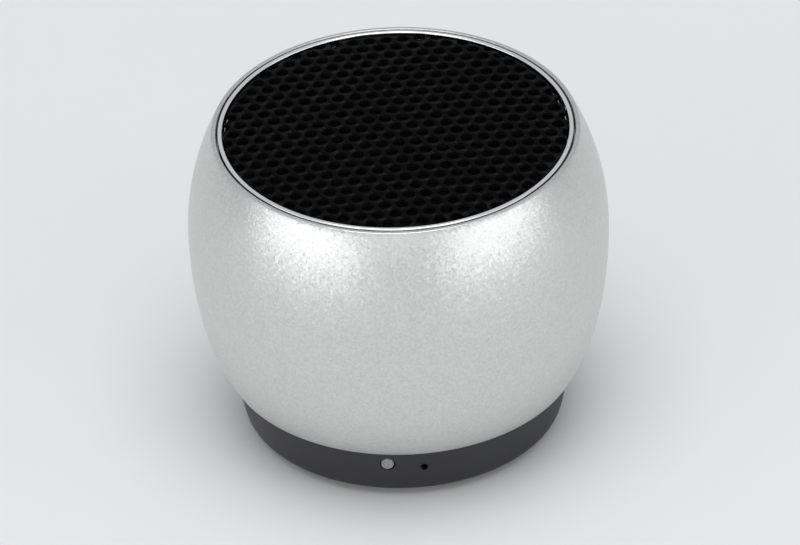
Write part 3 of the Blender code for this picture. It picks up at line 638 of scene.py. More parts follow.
@once
def solder_mask():
    """Green board: traces run along X in some areas and along Y in the others."""
    colour = tuple(colours().board)
    material, tree, shader = new_material("Solder mask", colour, 0.32, 0.0,
                                          Coat_Weight=0.35, Coat_Roughness=0.12)
    spot = place_of(tree)
    areas = cells(tree, spot, 260.0, distance="CHEBYCHEV")["Color"]
    parts = add(tree, "ShaderNodeSeparateColor", {0: areas}).outputs
    track_scale = 420.0
    along_x, along_y = (stripes(tree, spot, track_scale, direction) for direction in "XY")
    pick_x = maths(tree, "GREATER_THAN", parts[0], 0.55)
    lines = add(tree, "ShaderNodeMix", {"Factor": pick_x}, data_type="FLOAT")
    tree.links.new(along_x, lines.inputs[2])
    tree.links.new(along_y, lines.inputs[3])
    trace = remap(tree, lines.outputs[0], 0.62, 0.72)
    trace = maths(tree, "MULTIPLY", trace, maths(tree, "LESS_THAN", parts[1], 0.6))
    vias = add(tree, "ShaderNodeTexVoronoi", {
        "Vector": spot, "Scale": 430.0, "Randomness": 0.75,
    }).outputs["Distance"]
    via = remap(tree, vias, 0.13, 0.10)
    tone = blend_colour(tree, trace, shade(colour, 0.8), shade(colour, 2.1))
    tone = blend_colour(tree, via, tone, (0.55, 0.42, 0.16, 1.0))
    feed(tree, shader, Base_Color=tone)
    rough = remap(tree, noise(tree, spot, 500.0, 3.0), 0.3, 0.7, 0.26, 0.42)
    feed(tree, shader, Roughness=rough)
    feed(tree, shader, Metallic=maths(tree, "MULTIPLY", via, 0.9))
    bump(tree, shader, maths(tree, "ADD", trace, via), 0.4, 0.00004)
    return material


@once
def clear_acrylic():
    material, tree, shader = new_material("Clear acrylic", (0.90, 0.93, 0.95), 0.22, 0.0,
                                          Transmission_Weight=0.75, IOR=1.49)
    scuffs = noise(tree, place_of(tree), 2600.0, 3.0, 0.6)
    feed(tree, shader, Roughness=remap(tree, scuffs, 0.3, 0.7, 0.16, 0.34))
    bump(tree, shader, scuffs, 0.15, 0.00002)
    return material


@once
def phosphor():
    material, tree, shader = new_material("Phosphor dome", (0.86, 0.74, 0.18), 0.3, 0.0,
                                          Coat_Weight=0.6, Coat_Roughness=0.1)
    grain = noise(tree, place_of(tree), 5200.0, 2.0)
    tone = blend_colour(tree, grain, (0.80, 0.66, 0.12, 1.0), (0.92, 0.82, 0.28, 1.0))
    feed(tree, shader, Base_Color=tone)
    return material


# ---------------------------------------------------------------- shape helpers

def levels(start, end, count):
    return [start + (end - start) * i / count for i in range(count + 1)]


def arc(centre, radii, first, last, count):
    """Points of an elliptical arc in an outline; angles in degrees."""
    return [
        (centre[0] + radii[0] * math.cos(math.radians(a)),
         centre[1] + radii[1] * math.sin(math.radians(a)))
        for a in levels(first, last, count)
    ]


def polar(radius, degrees, height=0.0):
    angle = math.radians(degrees)
    return Vector((radius * math.cos(angle), radius * math.sin(angle), height))


def turned(outline, segments=None):
    """Spin an outline of (radius, height) pairs about Z into a closed shape."""
    shape = bmesh.new()
    points = [shape.verts.new((radius, 0.0, height)) for radius, height in outline]
    pairs = list(zip(points, points[1:]))
    if outline[0][0] > 0:
        pairs.append((points[-1], points[0]))
    edges = [shape.edges.new(pair) for pair in pairs]
    bmesh.ops.spin(
        shape, geom=points + edges, cent=(0, 0, 0), axis=(0, 0, 1), dvec=(0, 0, 0),
        angle=2 * math.pi, steps=segments or sizes().turn_segments, use_merge=True,
    )
    bmesh.ops.remove_doubles(shape, verts=shape.verts, dist=1e-7)
    bmesh.ops.recalc_face_normals(shape, faces=shape.faces)
    return shape


def rod(radius, bottom, top, spot=(0.0, 0.0), segments=None):
    shape = bmesh.new()
    bmesh.ops.create_cone(
        shape, cap_ends=True, segments=segments or sizes().small_segments,
        radius1=radius, radius2=radius, depth=top - bottom,
        matrix=Matrix.Translation((spot[0], spot[1], (bottom + top) / 2)),
    )
    return shape


def lying_rod(radius, start, end, x, z, segments=None):
    """A rod along Y."""
    shape = rod(radius, -abs(end - start) / 2, abs(end - start) / 2, segments=segments)
    turn = Matrix.Translation((x, (start + end) / 2, z)) @ Matrix.Rotation(math.pi / 2, 4, "X")
    bmesh.ops.transform(shape, matrix=turn, verts=shape.verts)
    return shape


def block(corner, opposite):
    shape = bmesh.new()
    corner, opposite = Vector(corner), Vector(opposite)
    size = Matrix.Diagonal((*(opposite - corner), 1.0))
    place = Matrix.Translation((corner + opposite) / 2)
    bmesh.ops.create_cube(shape, size=1.0, matrix=place @ size)
    return shape


def node_block(node):
    """A block that fills a CAD node's box."""
    return block(low(node), high(node))


def node_disc(node, segments):
    """A closed disc with a CAD node's radius and height, on the axis."""
    radius, bottom, top = high(node).x, low(node).z, high(node).z
    return turned([(0, top), (radius, top), (radius, bottom), (0, bottom)], segments)


def join(shapes):
    """Several closed shapes as one; their faces keep their material numbers."""
    whole = bmesh.new()
    for shape in shapes:
        scratch = bpy.data.meshes.new("scratch")
        shape.to_mesh(scratch)
        shape.free()
        whole.from_mesh(scratch)
        bpy.data.meshes.remove(scratch)
    return whole


def move(shape, matrix):
    bmesh.ops.transform(shape, matrix=matrix, verts=shape.verts)
    return shape


def turn_about_z(shape, degrees):
    return move(shape, Matrix.Rotation(math.radians(degrees), 4, "Z"))


def copies(shape, matrices):
    """The same closed shape at several places, as one."""
    made = []
    for matrix in matrices:
        made.append(move(shape.copy(), matrix))
    shape.free()
    return join(made)


def bevel_edges(shape, edges, width, segments):
    bmesh.ops.bevel(
        shape, geom=edges, offset=width, offset_type="OFFSET", segments=segments,
        profile=0.5, affect="EDGES", clamp_overlap=True, material=-1,
    )


def thicken(shape, faces, step):
    """Extrude flat faces by a step into a closed slab, and keep the faces themselves."""
    made = bmesh.ops.extrude_face_region(shape, geom=faces, use_keep_orig=True)
    raised = [v for v in made["geom"] if isinstance(v, bmesh.types.BMVert)]
    bmesh.ops.translate(shape, verts=raised, vec=step)


def rounded(shape, width, segments=2, angle=28.0):
    """Round every edge that is sharper than the angle."""
    sharp = [
        edge for edge in shape.edges
        if len(edge.link_faces) == 2 and edge.calc_face_angle(0) > math.radians(angle)
    ]
    bevel_edges(shape, sharp, width, segments)
    return shape


def paint(shape, number):
    for face in shape.faces:
        face.material_index = number
    return shape


def cut(shape, tool, operation="DIFFERENCE"):
    """Boolean of two closed shapes, by the exact solver."""
    objects = []
    for part in (shape, tool):
        mesh = bpy.data.meshes.new("scratch")
        part.to_mesh(mesh)
        part.free()
        obj = bpy.data.objects.new("scratch", mesh)
        bpy.context.scene.collection.objects.link(obj)
        objects.append(obj)
    body, cutter = objects
    step = body.modifiers.new("cut", "BOOLEAN")
    step.operation = operation
    step.solver = "EXACT"
    step.object = cutter
    graph = bpy.context.evaluated_depsgraph_get()
    result = bmesh.new()
    result.from_object(body, graph)
    for obj in objects:
        mesh = obj.data
        bpy.data.objects.remove(obj)
        bpy.data.meshes.remove(mesh)
    bmesh.ops.remove_doubles(result, verts=result.verts, dist=1e-8)
    bmesh.ops.dissolve_degenerate(result, edges=result.edges, dist=1e-8)
    return result


def drill(shape, radius, bottom, top, places):
    return cut(shape, copies(rod(radius, bottom, top), places))


def add_posts(shape, radius, bottom, top, places):
    return cut(shape, copies(rod(radius, bottom, top), places), "UNION")


def make_piece(shape, name, finishes, body, node=None, slot=None, sharp=32.0):
    """Turn a shape into a finished piece that rides on a body and stands for a CAD node."""
    mesh = bpy.data.meshes.new(name)
    shape.to_mesh(mesh)
    shape.free()
    for finish in finishes if isinstance(finishes, tuple) else (finishes,):
        mesh.materials.append(finish)
    mesh.shade_smooth()
    mesh.set_sharp_from_angle(angle=math.radians(sharp))
    piece = bpy.data.objects.new(name, mesh)
    bpy.context.scene.collection.objects.link(piece)
    if node not in BENDING_NODES:
        level = piece.modifiers.new("flat faces stay flat", "WEIGHTED_NORMAL")
        level.keep_sharp = True
    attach(piece, body)
    if node:
        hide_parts(node)
        slot = slot or SLOT_OF[node]
    return piece


BENDING_NODES = ("cone_surround", "spider")
CORE_SEGMENTS = 96
FINE_SEGMENTS = 48
SLOT_OF = {entry["node"]: entry["material_slot"] for entry in frame["record"]["subparts"]}

BASE_SCREW_ANGLES = (0, 120, 240)
BOARD_SCREW_ANGLES = (60, 180, 300)
BASE_SCREW_RING = (low("base_screw_1").x + high("base_screw_1").x) / 2
BOARD_SCREW_RING = -(low("board_screw_2").x + high("board_screw_2").x) / 2
LEAD_ANGLES = {"battery": -90, "speaker": -28}
LUG_RADIUS = 2.2 * MM
LUG_BOTTOM = 10.0 * MM
LUG_TOP = 12.9 * MM


def ring_places(radius, angles):
    return [Matrix.Translation(polar(radius, degrees)) for degrees in angles]


def turns_about_z(angles):
    return [Matrix.Rotation(math.radians(degrees), 4, "Z") for degrees in angles]


# ---------------------------------------------------------------- shell

BELLY_Z = 24.0 * MM
SHOULDER_ARC = 28.4 * MM
LOWER_CORE = 16.0 * MM
LOWER_DROP = 19.5 * MM
SHELL_WALL = 1.8 * MM
RIM_BORE = 19.55 * MM
RIM_FLOOR = 35.2 * MM
DRIVER_BORE = 18.3 * MM
LEDGE_BORE = 16.3 * MM
LEDGE_TOP = 31.8 * MM
LEDGE_BOTTOM = 30.1 * MM
COLLAR_BORE = 17.7 * MM
COLLAR_TOP = 10.4 * MM
BELLY_RADIUS = high("shell").x


def belly(z):
    """Outer radius of the shell at a height: an elliptical lower half and a circular shoulder."""
    if z < BELLY_Z:
        fall = (BELLY_Z - z) / LOWER_DROP
        return LOWER_CORE + (BELLY_RADIUS - LOWER_CORE) * math.sqrt(1 - fall * fall)
    return BELLY_RADIUS - SHOULDER_ARC + math.sqrt(SHOULDER_ARC ** 2 - (z - BELLY_Z) ** 2)


class SPEAKER_OT_shell(bpy.types.Operator):
    """Make the turned aluminium shell with its driver ledge and screw lugs"""
    bl_idname = "speaker.shell"
    bl_label = "Shell"

    def execute(self, context):
        top, bottom = high("shell").z, low("shell").z
        outline = [(belly(z), z) for z in levels(top, BELLY_Z, 26)]
        outline += [(belly(z), z) for z in levels(BELLY_Z, bottom, 30)[1:]]
        outline += [(COLLAR_BORE, bottom), (COLLAR_BORE, COLLAR_TOP)]
        outline += [(belly(z) - SHELL_WALL, z) for z in levels(COLLAR_TOP, LEDGE_BOTTOM, 16)]
        outline += [
            (LEDGE_BORE, LEDGE_BOTTOM), (LEDGE_BORE, LEDGE_TOP), (DRIVER_BORE, LEDGE_TOP),
            (DRIVER_BORE, RIM_FLOOR), (RIM_BORE, RIM_FLOOR), (RIM_BORE, top),
        ]
        shell = rounded(turned(outline), sizes().edge_radius, 3, 40.0)
        arm_end = belly(LUG_BOTTOM) - SHELL_WALL / 2
        arm = block((BASE_SCREW_RING, -LUG_RADIUS, LUG_BOTTOM), (arm_end, LUG_RADIUS, LUG_TOP))
        lug = cut(arm, rod(LUG_RADIUS, LUG_BOTTOM, LUG_TOP, (BASE_SCREW_RING, 0)), "UNION")
        shell = cut(shell, copies(lug, turns_about_z(BASE_SCREW_ANGLES)), "UNION")
        places = ring_places(BASE_SCREW_RING, BASE_SCREW_ANGLES)
        shell = drill(shell, 1.1 * MM, LUG_BOTTOM - MM, LUG_TOP + MM, places)
        make_piece(shell, "satin_shell", satin_aluminium(), "housing", "shell")
        return {"FINISHED"}


# ---------------------------------------------------------------- grille

class SPEAKER_OT_grille(bpy.types.Operator):
    """Make the polished ring, the perforated disc and the cloth and foam behind it"""
    bl_idname = "speaker.grille"
    bl_label = "Grille"

    def bezel(self):
        top, bottom, outer = high("grille_bezel").z, low("grille_bezel").z, high("grille_bezel").x
        inner, lip_bore, lip_top = 18.85 * MM, inner_radius("grille_bezel"), 35.75 * MM
        shape = turned([
            (outer, top), (outer, bottom), (lip_bore, bottom), (lip_bore, lip_top),
            (inner, lip_top), (inner, top),
        ])
        shape = rounded(shape, 0.17 * MM, 5, 40.0)
        make_piece(shape, "polished_bezel", polished_metal(), "housing", "grille_bezel")

    def lattice(self, reach):
        """Places of the holes on a hexagonal lattice, inside a radius."""
        pitch, turn = sizes().hole_pitch, sizes().grille_turn
        row_step = pitch * math.sqrt(3) / 2
        rows = int(reach / row_step) + 1
        places = []
        for row in range(-rows, rows + 1):
            for column in range(-2 * rows, 2 * rows + 1):
                x = (column + 0.5 * (row % 2)) * pitch
                y = row * row_step
                if math.hypot(x, y) < reach:
                    places.append(Matrix.Rotation(turn, 4, "Z") @ Vector((x, y, 0)))
        return places

    def dome(self, shape, radius, roll=0.0):
        """Raise the middle of a flat shape above its edge, and roll the last of the edge down."""
        for vert in shape.verts:
            off_axis = math.hypot(vert.co.x, vert.co.y)
            past_roll = max(0.0, off_axis - radius + 0.9 * MM) / (0.9 * MM)
            vert.co.z += sizes().grille_crown * (1 - (off_axis / radius) ** 2) - roll * past_roll ** 2

    def perforated_disc(self):
        radius, bottom = high("grille_mesh").x, low("grille_mesh").z
        thickness = high("grille_mesh").z - bottom - sizes().grille_crown
        hole = sizes().hole_diameter / 2
        shape = bmesh.new()
        bmesh.ops.create_circle(shape, radius=radius, segments=sizes().turn_segments)
        whole_reach, open_reach = radius - hole - 0.16 * MM, radius - hole + 0.12 * MM
        open_places = []
        for place in self.lattice(radius + 0.5 * hole):
            if place.length > open_reach:
                open_places.append(Matrix.Translation(place))
                continue
            if place.length > whole_reach:
                place *= whole_reach / place.length
            bmesh.ops.create_circle(
                shape, radius=hole, segments=14, matrix=Matrix.Translation(place)
            )
        bmesh.ops.triangle_fill(shape, use_beauty=True, edges=shape.edges)
        for face in shape.faces:
            if face.normal.z < 0:
                face.normal_flip()
        thicken(shape, list(shape.faces), (0, 0, thickness))
        bmesh.ops.translate(shape, verts=shape.verts, vec=(0, 0, bottom))
        bmesh.ops.recalc_face_normals(shape, faces=shape.faces)
        slot = rod(hole, bottom - MM, bottom + thickness + MM, segments=14)
        shape = cut(shape, copies(slot, open_places))
        top_rims = [
            edge for edge in shape.edges
            if edge.calc_face_angle(0) > 1.0
            and all(v.co.z > bottom + thickness / 2 for v in edge.verts)
        ]
        bevel_edges(shape, top_rims, 0.05 * MM, 2)
        self.dome(shape, radius, 0.10 * MM)
        make_piece(shape, "perforated_grille", mesh_enamel(), "housing", "grille_mesh")

    def scrim(self):
        radius, bottom = high("dust_scrim").x, low("dust_scrim").z
        thickness = high("dust_scrim").z - bottom - sizes().grille_crown
        outline = [(r, bottom + thickness) for r in levels(0, radius, 8)]
        outline += [(r, bottom) for r in levels(radius, 0, 8)]
        shape = turned(outline)
        self.dome(shape, radius)
        cloth = make_piece(shape, "acoustic_cloth", scrim_cloth(), "housing", "dust_scrim")

    def execute(self, context):
        self.bezel()
        self.perforated_disc()
        self.scrim()
        foam_ring("grille_gasket", "grille_foam")
        return {"FINISHED"}


def foam_ring(node, name):
    """A soft ring with bulging sides."""
    inner, outer = inner_radius(node), high(node).x
    bottom, top = low(node).z, high(node).z
    middle, half = (bottom + top) / 2, (top - bottom) / 2
    bulge = min(0.12 * MM, half / 2)
    outline = arc((outer - bulge, middle), (bulge, half), 90, -90, 8)
    outline += arc((inner + bulge, middle), (bulge, half), 270, 90, 8)
    ring = make_piece(turned(outline), name, foam(), "housing", node)


# ---------------------------------------------------------------- driver

class SPEAKER_OT_driver_frame(bpy.types.Operator):
    """Make the pressed steel basket, its foam gasket and the terminal board"""
    bl_idname = "speaker.driver_frame"
    bl_label = "Driver frame"

    def execute(self, context):
        flange = high("driver_frame")
        outline = [(x * MM, z * MM) for x, z in (
            (16.0, 32.5), (15.6, 30.5), (13.5, 28.4), (13.3, 27.2), (12.3, 27.2),
            (12.0, 25.8), (7.4, 25.8), (7.4, 26.3), (11.4, 26.3), (11.6, 27.8),
            (12.8, 27.8), (13.0, 28.7), (15.0, 30.8),
        )]
        outline = [(flange.x, flange.z), (flange.x, 32.5 * MM)] + outline
        outline += [(15.2 * MM, flange.z)]
        basket = rounded(turned(outline), 0.12 * MM, 2, 20.0)
        window = block((10 * MM, -3.2 * MM, 28.9 * MM), (17 * MM, 3.2 * MM, 31.6 * MM))
        window = rounded(window, 0.8 * MM, 4)
        basket = cut(basket, copies(window, turns_about_z((45, 135, 225, 315))))
        make_piece(basket, "driver_basket", zinc_steel(), "housing", "driver_frame")
        foam_ring("driver_gasket", "driver_foam")
        self.terminal_board()
        return {"FINISHED"}

    def terminal_board(self):
        corner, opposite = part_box("terminal_board")
        board = rounded(block(corner, opposite), 0.06 * MM)
        tabs = []
        wire_end = 0.965
        for node in ("speaker_wire_red", "speaker_wire_black"):
            y = low(node).y + (high(node).y - low(node).y) * wire_end
            lug = block((corner.x + 0.5 * MM, y - 0.6 * MM, corner.z - 0.12 * MM),
                        (opposite.x + 0.1 * MM, y + 0.6 * MM, corner.z - 0.02 * MM))
            tabs.append(rounded(lug, 0.04 * MM))
            bead = bmesh.new()
            bmesh.ops.create_uvsphere(bead, u_segments=16, v_segments=8, radius=0.6 * MM)
            squat = Matrix.Translation((opposite.x + 0.25 * MM, y, corner.z + 0.25 * MM))
            tabs.append(move(bead, squat @ Matrix.Diagonal((0.9, 0.9, 1.0, 1))))
        make_piece(board, "terminal_plate", phenolic(), "housing", "terminal_board")
        make_piece(join(tabs), "terminal_tabs", solder(), "housing", slot="zinc_steel")


CONE_INNER = inner_radius("speaker_cone")


def cone_height(radius):
    outer, rim = high("speaker_cone").x, high("speaker_cone").z
    share = (radius - CONE_INNER) / (outer - CONE_INNER)
    return rim - 3.35 * MM * (1 - share ** 0.85)


def bend_with_cone(piece, fixed, moving):
    """Bake the placement of a ring between the housing and the cone into its mesh, and work out each vertex's
    share between its fixed edge and its inner edge; the share moves nothing.
    """
    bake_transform(piece)
    for vert in piece.data.vertices:
        share = (fixed - math.hypot(vert.co.x, vert.co.y)) / (fixed - moving)
        share = min(1.0, max(0.0, share))


class SPEAKER_OT_cone(bpy.types.Operator):
    """Make the cone, its dust cap, coil, surround and spider"""
    bl_idname = "speaker.cone"
    bl_label = "Cone and coil"

    def execute(self, context):
        self.cone()
        self.dust_cap()
        self.coil()
        self.surround()
        self.spider()
        return {"FINISHED"}

    def cone(self):
        skin = 0.45 * MM
        radii = levels(CONE_INNER, high("speaker_cone").x, 28)
        top = [(r, cone_height(r)) for r in radii]
        under = [(r, z - skin) for r, z in reversed(top)]
        shape = turned(under + top)
        for vert in shape.verts:
            angle = math.atan2(vert.co.y, vert.co.x)
            radius = math.hypot(vert.co.x, vert.co.y)
            middle = math.sin(math.pi * min(1, (radius - CONE_INNER) / (5.7 * MM)))
            vert.co.z += 0.05 * MM * middle * max(0.0, math.cos(12 * angle)) ** 6
        make_piece(shape, "pulp_cone", pulp_cone(), "cone_assembly", "speaker_cone")

    def dust_cap(self):
        radius, bottom, rise = high("dust_cap").x, low("dust_cap").z, 2.0 * MM
        skin = 0.3 * MM
        outline = arc((0, bottom), (radius, rise), 90, 0, 20)
        outline += arc((0, bottom), (radius - skin, rise - skin), 0, 90, 20)
        outline[0] = (0, outline[0][1])
        outline[-1] = (0, outline[-1][1])
        make_piece(turned(outline, CORE_SEGMENTS), "domed_cap", pulp_cone(), "cone_assembly", "dust_cap")

    def coil(self):
        outer, inner = high("coil_former").x, inner_radius("coil_former")
        bottom, top = low("coil_former").z, high("coil_former").z
        former = turned([(outer, top), (outer, bottom), (inner, bottom), (inner, top)], CORE_SEGMENTS)
        make_piece(former, "former_tube", amber_tape(), "cone_assembly", "coil_former")
        outer, inner = high("voice_coil").x, 6.4 * MM
        bottom, top = low("voice_coil").z, high("voice_coil").z
        turns = 22
        strand = (top - bottom) / turns / 2
        outline = []
        for turn in range(turns):
            centre = (outer - strand, top - strand * (2 * turn + 1))
            outline += arc(centre, (strand, strand), 90, -90, 4)[:-1]
        outline += [(outer - strand, bottom), (inner, bottom), (inner, top)]
        make_piece(turned(outline, CORE_SEGMENTS), "wound_coil", copper_wire(), "cone_assembly", "voice_coil")

    def surround(self):
        foot_bottom = low("cone_surround").z
        skin, half, rise = 0.25 * MM, 1.5 * MM, 1.05 * MM
        middle, outer, inner = 13.7 * MM, high("cone_surround").x, inner_radius("cone_surround")
        outline = [(outer, foot_bottom + skin), (outer, foot_bottom)]
        outline += arc((middle, foot_bottom), (half - skin, rise), 0, 180, 20)
        outline += [(inner, foot_bottom), (inner, foot_bottom + skin)]
        outline += arc((middle, foot_bottom + skin), (half, rise), 180, 0, 20)
        ring = make_piece(turned(outline), "rubber_surround", silicone(), "housing", "cone_surround")
        ring.parent = None
        bend_with_cone(ring, 15.2 * MM, 12.2 * MM)

    def spider(self):
        skin, wave, folds = 0.2 * MM, 0.15 * MM, 4
        centre = (low("spider").z + high("spider").z) / 2
        inner, outer = high("coil_former").x + 0.02 * MM, high("spider").x
        radii = levels(inner, outer, 64)
        wavy = [
            (r, centre + wave * math.sin(folds * math.pi * (r - inner) / (outer - inner)))
            for r in radii
        ]
        over = [(r, z + skin / 2) for r, z in wavy]
        under = [(r, z - skin / 2) for r, z in reversed(wavy)]
        disc = make_piece(turned(under + over), "corrugated_spider", resin_cloth(), "housing", "spider")
        disc.parent = None
        bend_with_cone(disc, 11.6 * MM, 6.9 * MM)


class SPEAKER_OT_magnet(bpy.types.Operator):
    """Make the magnet, its pole plate and its steel cup"""
    bl_idname = "speaker.magnet"
    bl_label = "Magnet"

    def execute(self, context):
        cup, top = high("magnet_yoke"), high("magnet_yoke").z
        bottom = low("magnet_yoke").z
        floor_top, gap_radius, corner = bottom + 1.5 * MM, 7.2 * MM, 0.5 * MM
        yoke = turned([
            (0, floor_top), (gap_radius, floor_top), (gap_radius, top), (cup.x, top),
            (cup.x, bottom + corner), (cup.x - corner, bottom), (3 * MM, bottom),
            (3 * MM - 0.3 * MM, bottom + 0.2 * MM), (0, bottom + 0.2 * MM),
        ], CORE_SEGMENTS)
        yoke = rounded(yoke, 0.1 * MM, 2)
        make_piece(yoke, "steel_cup", zinc_steel(), "housing", "magnet_yoke")
        for node, name, finish in (
            ("magnet", "disc_magnet", nickel()), ("pole_plate", "steel_pole_plate", zinc_steel()),
        ):
            disc = rounded(node_disc(node, CORE_SEGMENTS), 0.15 * MM, 3)
            make_piece(disc, name, finish, "housing", node)
        return {"FINISHED"}


# ---------------------------------------------------------------- battery

class SPEAKER_OT_battery(bpy.types.Operator):
    """Make the pouch cell with its tape, the foam pad and the tray"""
    bl_idname = "speaker.battery"
    bl_label = "Battery"

    def execute(self, context):
        self.cell()
        self.pad()
        self.tray()
        return {"FINISHED"}

    def cell(self):
        corner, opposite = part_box("battery_cell")
        pouch = rounded(block(corner, opposite), 0.8 * MM, 5)
        bmesh.ops.subdivide_edges(pouch, edges=[
            edge for edge in pouch.edges if edge.calc_length() > 5 * MM
        ], cuts=9, use_grid_fill=True)
        half = (opposite.x - corner.x) / 2
        for vert in pouch.verts:
            crown = max(0.0, 1 - (vert.co.x / half) ** 2) * max(0.0, 1 - (vert.co.y / half) ** 2)
            if vert.co.z > (corner.z + opposite.z) / 2:
                vert.co.z -= 0.10 * MM * (1 - crown)
        make_piece(pouch, "foil_cell", foil_pouch(), "housing", "battery_cell")
        outside = corner.y - 0.25 * MM
        tape = rounded(block((-6 * MM, outside, corner.z + 3.6 * MM),
                             (6 * MM, outside + 1.2 * MM, opposite.z - 0.2 * MM)), 0.2 * MM, 3)
        make_piece(tape, "cell_end_tape", amber_tape(), "housing", slot="cell_foil")

    def pad(self):
        corner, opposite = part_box("battery_pad")
        pad = block(corner, opposite)
        bmesh.ops.subdivide_edges(pad, edges=pad.edges, cuts=12, use_grid_fill=True)
        centre = (corner + opposite) / 2
        half = (opposite - corner) / 2
        for vert in pad.verts:
            share = Vector((vert.co[i] - centre[i]) / half[i] for i in range(3))
            waist = 1 - 0.012 * share.z * share.z
            vert.co.x = centre.x + half.x * share.x * waist
            vert.co.y = centre.y + half.y * share.y * waist
            near_edge = max(abs(share.x), abs(share.y)) ** 12
            vert.co.z = centre.z + half.z * share.z * (1 - 0.10 * near_edge)
        piece = make_piece(pad, "foam_pad", foam(), "housing", "battery_pad", sharp=70.0)

    def tray(self):
        floor, plate_top, wall_top = 11.8 * MM, 12.8 * MM, high("battery_tray").z
        leg_bottom = low("battery_tray").z
        tray = rod(15.9 * MM, floor, plate_top, segments=sizes().turn_segments)
        inner, outer, side, stop = 10.3 * MM, 11.3 * MM, 9.0 * MM, 3.0 * MM
        sink = plate_top - 0.5 * MM
        for sign in (-1, 1):
            near, far = sorted((sign * inner, sign * outer))
            tray = cut(tray, block((near, -side, sink), (far, side, wall_top)), "UNION")
            tray = cut(tray, block((-stop, near, sink), (stop, far, wall_top)), "UNION")
        legs = ring_places(BOARD_SCREW_RING, BOARD_SCREW_ANGLES)
        tray = add_posts(tray, 1.7 * MM, leg_bottom, sink, legs)
        tray = drill(tray, 0.95 * MM, leg_bottom - MM, plate_top + MM, legs)
        below, above = floor - MM, plate_top + MM
        tray = drill(tray, 2.5 * MM, below, above, ring_places(BASE_SCREW_RING, BASE_SCREW_ANGLES))
        mouth = block((BASE_SCREW_RING, -2.5 * MM, below), (17 * MM, 2.5 * MM, above))
        tray = cut(tray, copies(mouth, turns_about_z(BASE_SCREW_ANGLES)))
        notch = block((13.9 * MM, -1.9 * MM, below), (17 * MM, 1.9 * MM, above))
        tray = cut(tray, copies(notch, turns_about_z(LEAD_ANGLES.values())))
        make_piece(rounded(tray, 0.08 * MM, 1, 50.0), "cell_tray", tray_plastic(), "housing",
                   "battery_tray")


# ---------------------------------------------------------------- circuit board

def leads(half_x, board_z, pitch, count):
    """Bent legs along two sides of a chip, down to the board."""
    shapes = []
    for side in (0, 180):
        for index in range(count):
            shift = (index - (count - 1) / 2) * pitch
            foot = block((half_x - 0.02 * MM, shift - 0.14 * MM, board_z + 0.02 * MM),
                         (half_x + 0.42 * MM, shift + 0.14 * MM, board_z + 0.16 * MM))
            knee = block((half_x - 0.02 * MM, shift - 0.14 * MM, board_z + 0.14 * MM),
                         (half_x + 0.14 * MM, shift + 0.14 * MM, board_z + 0.50 * MM))
            leg = join([foot, knee])
            bmesh.ops.remove_doubles(leg, verts=leg.verts, dist=1e-7)
            shapes.append(turn_about_z(leg, side))
    return shapes


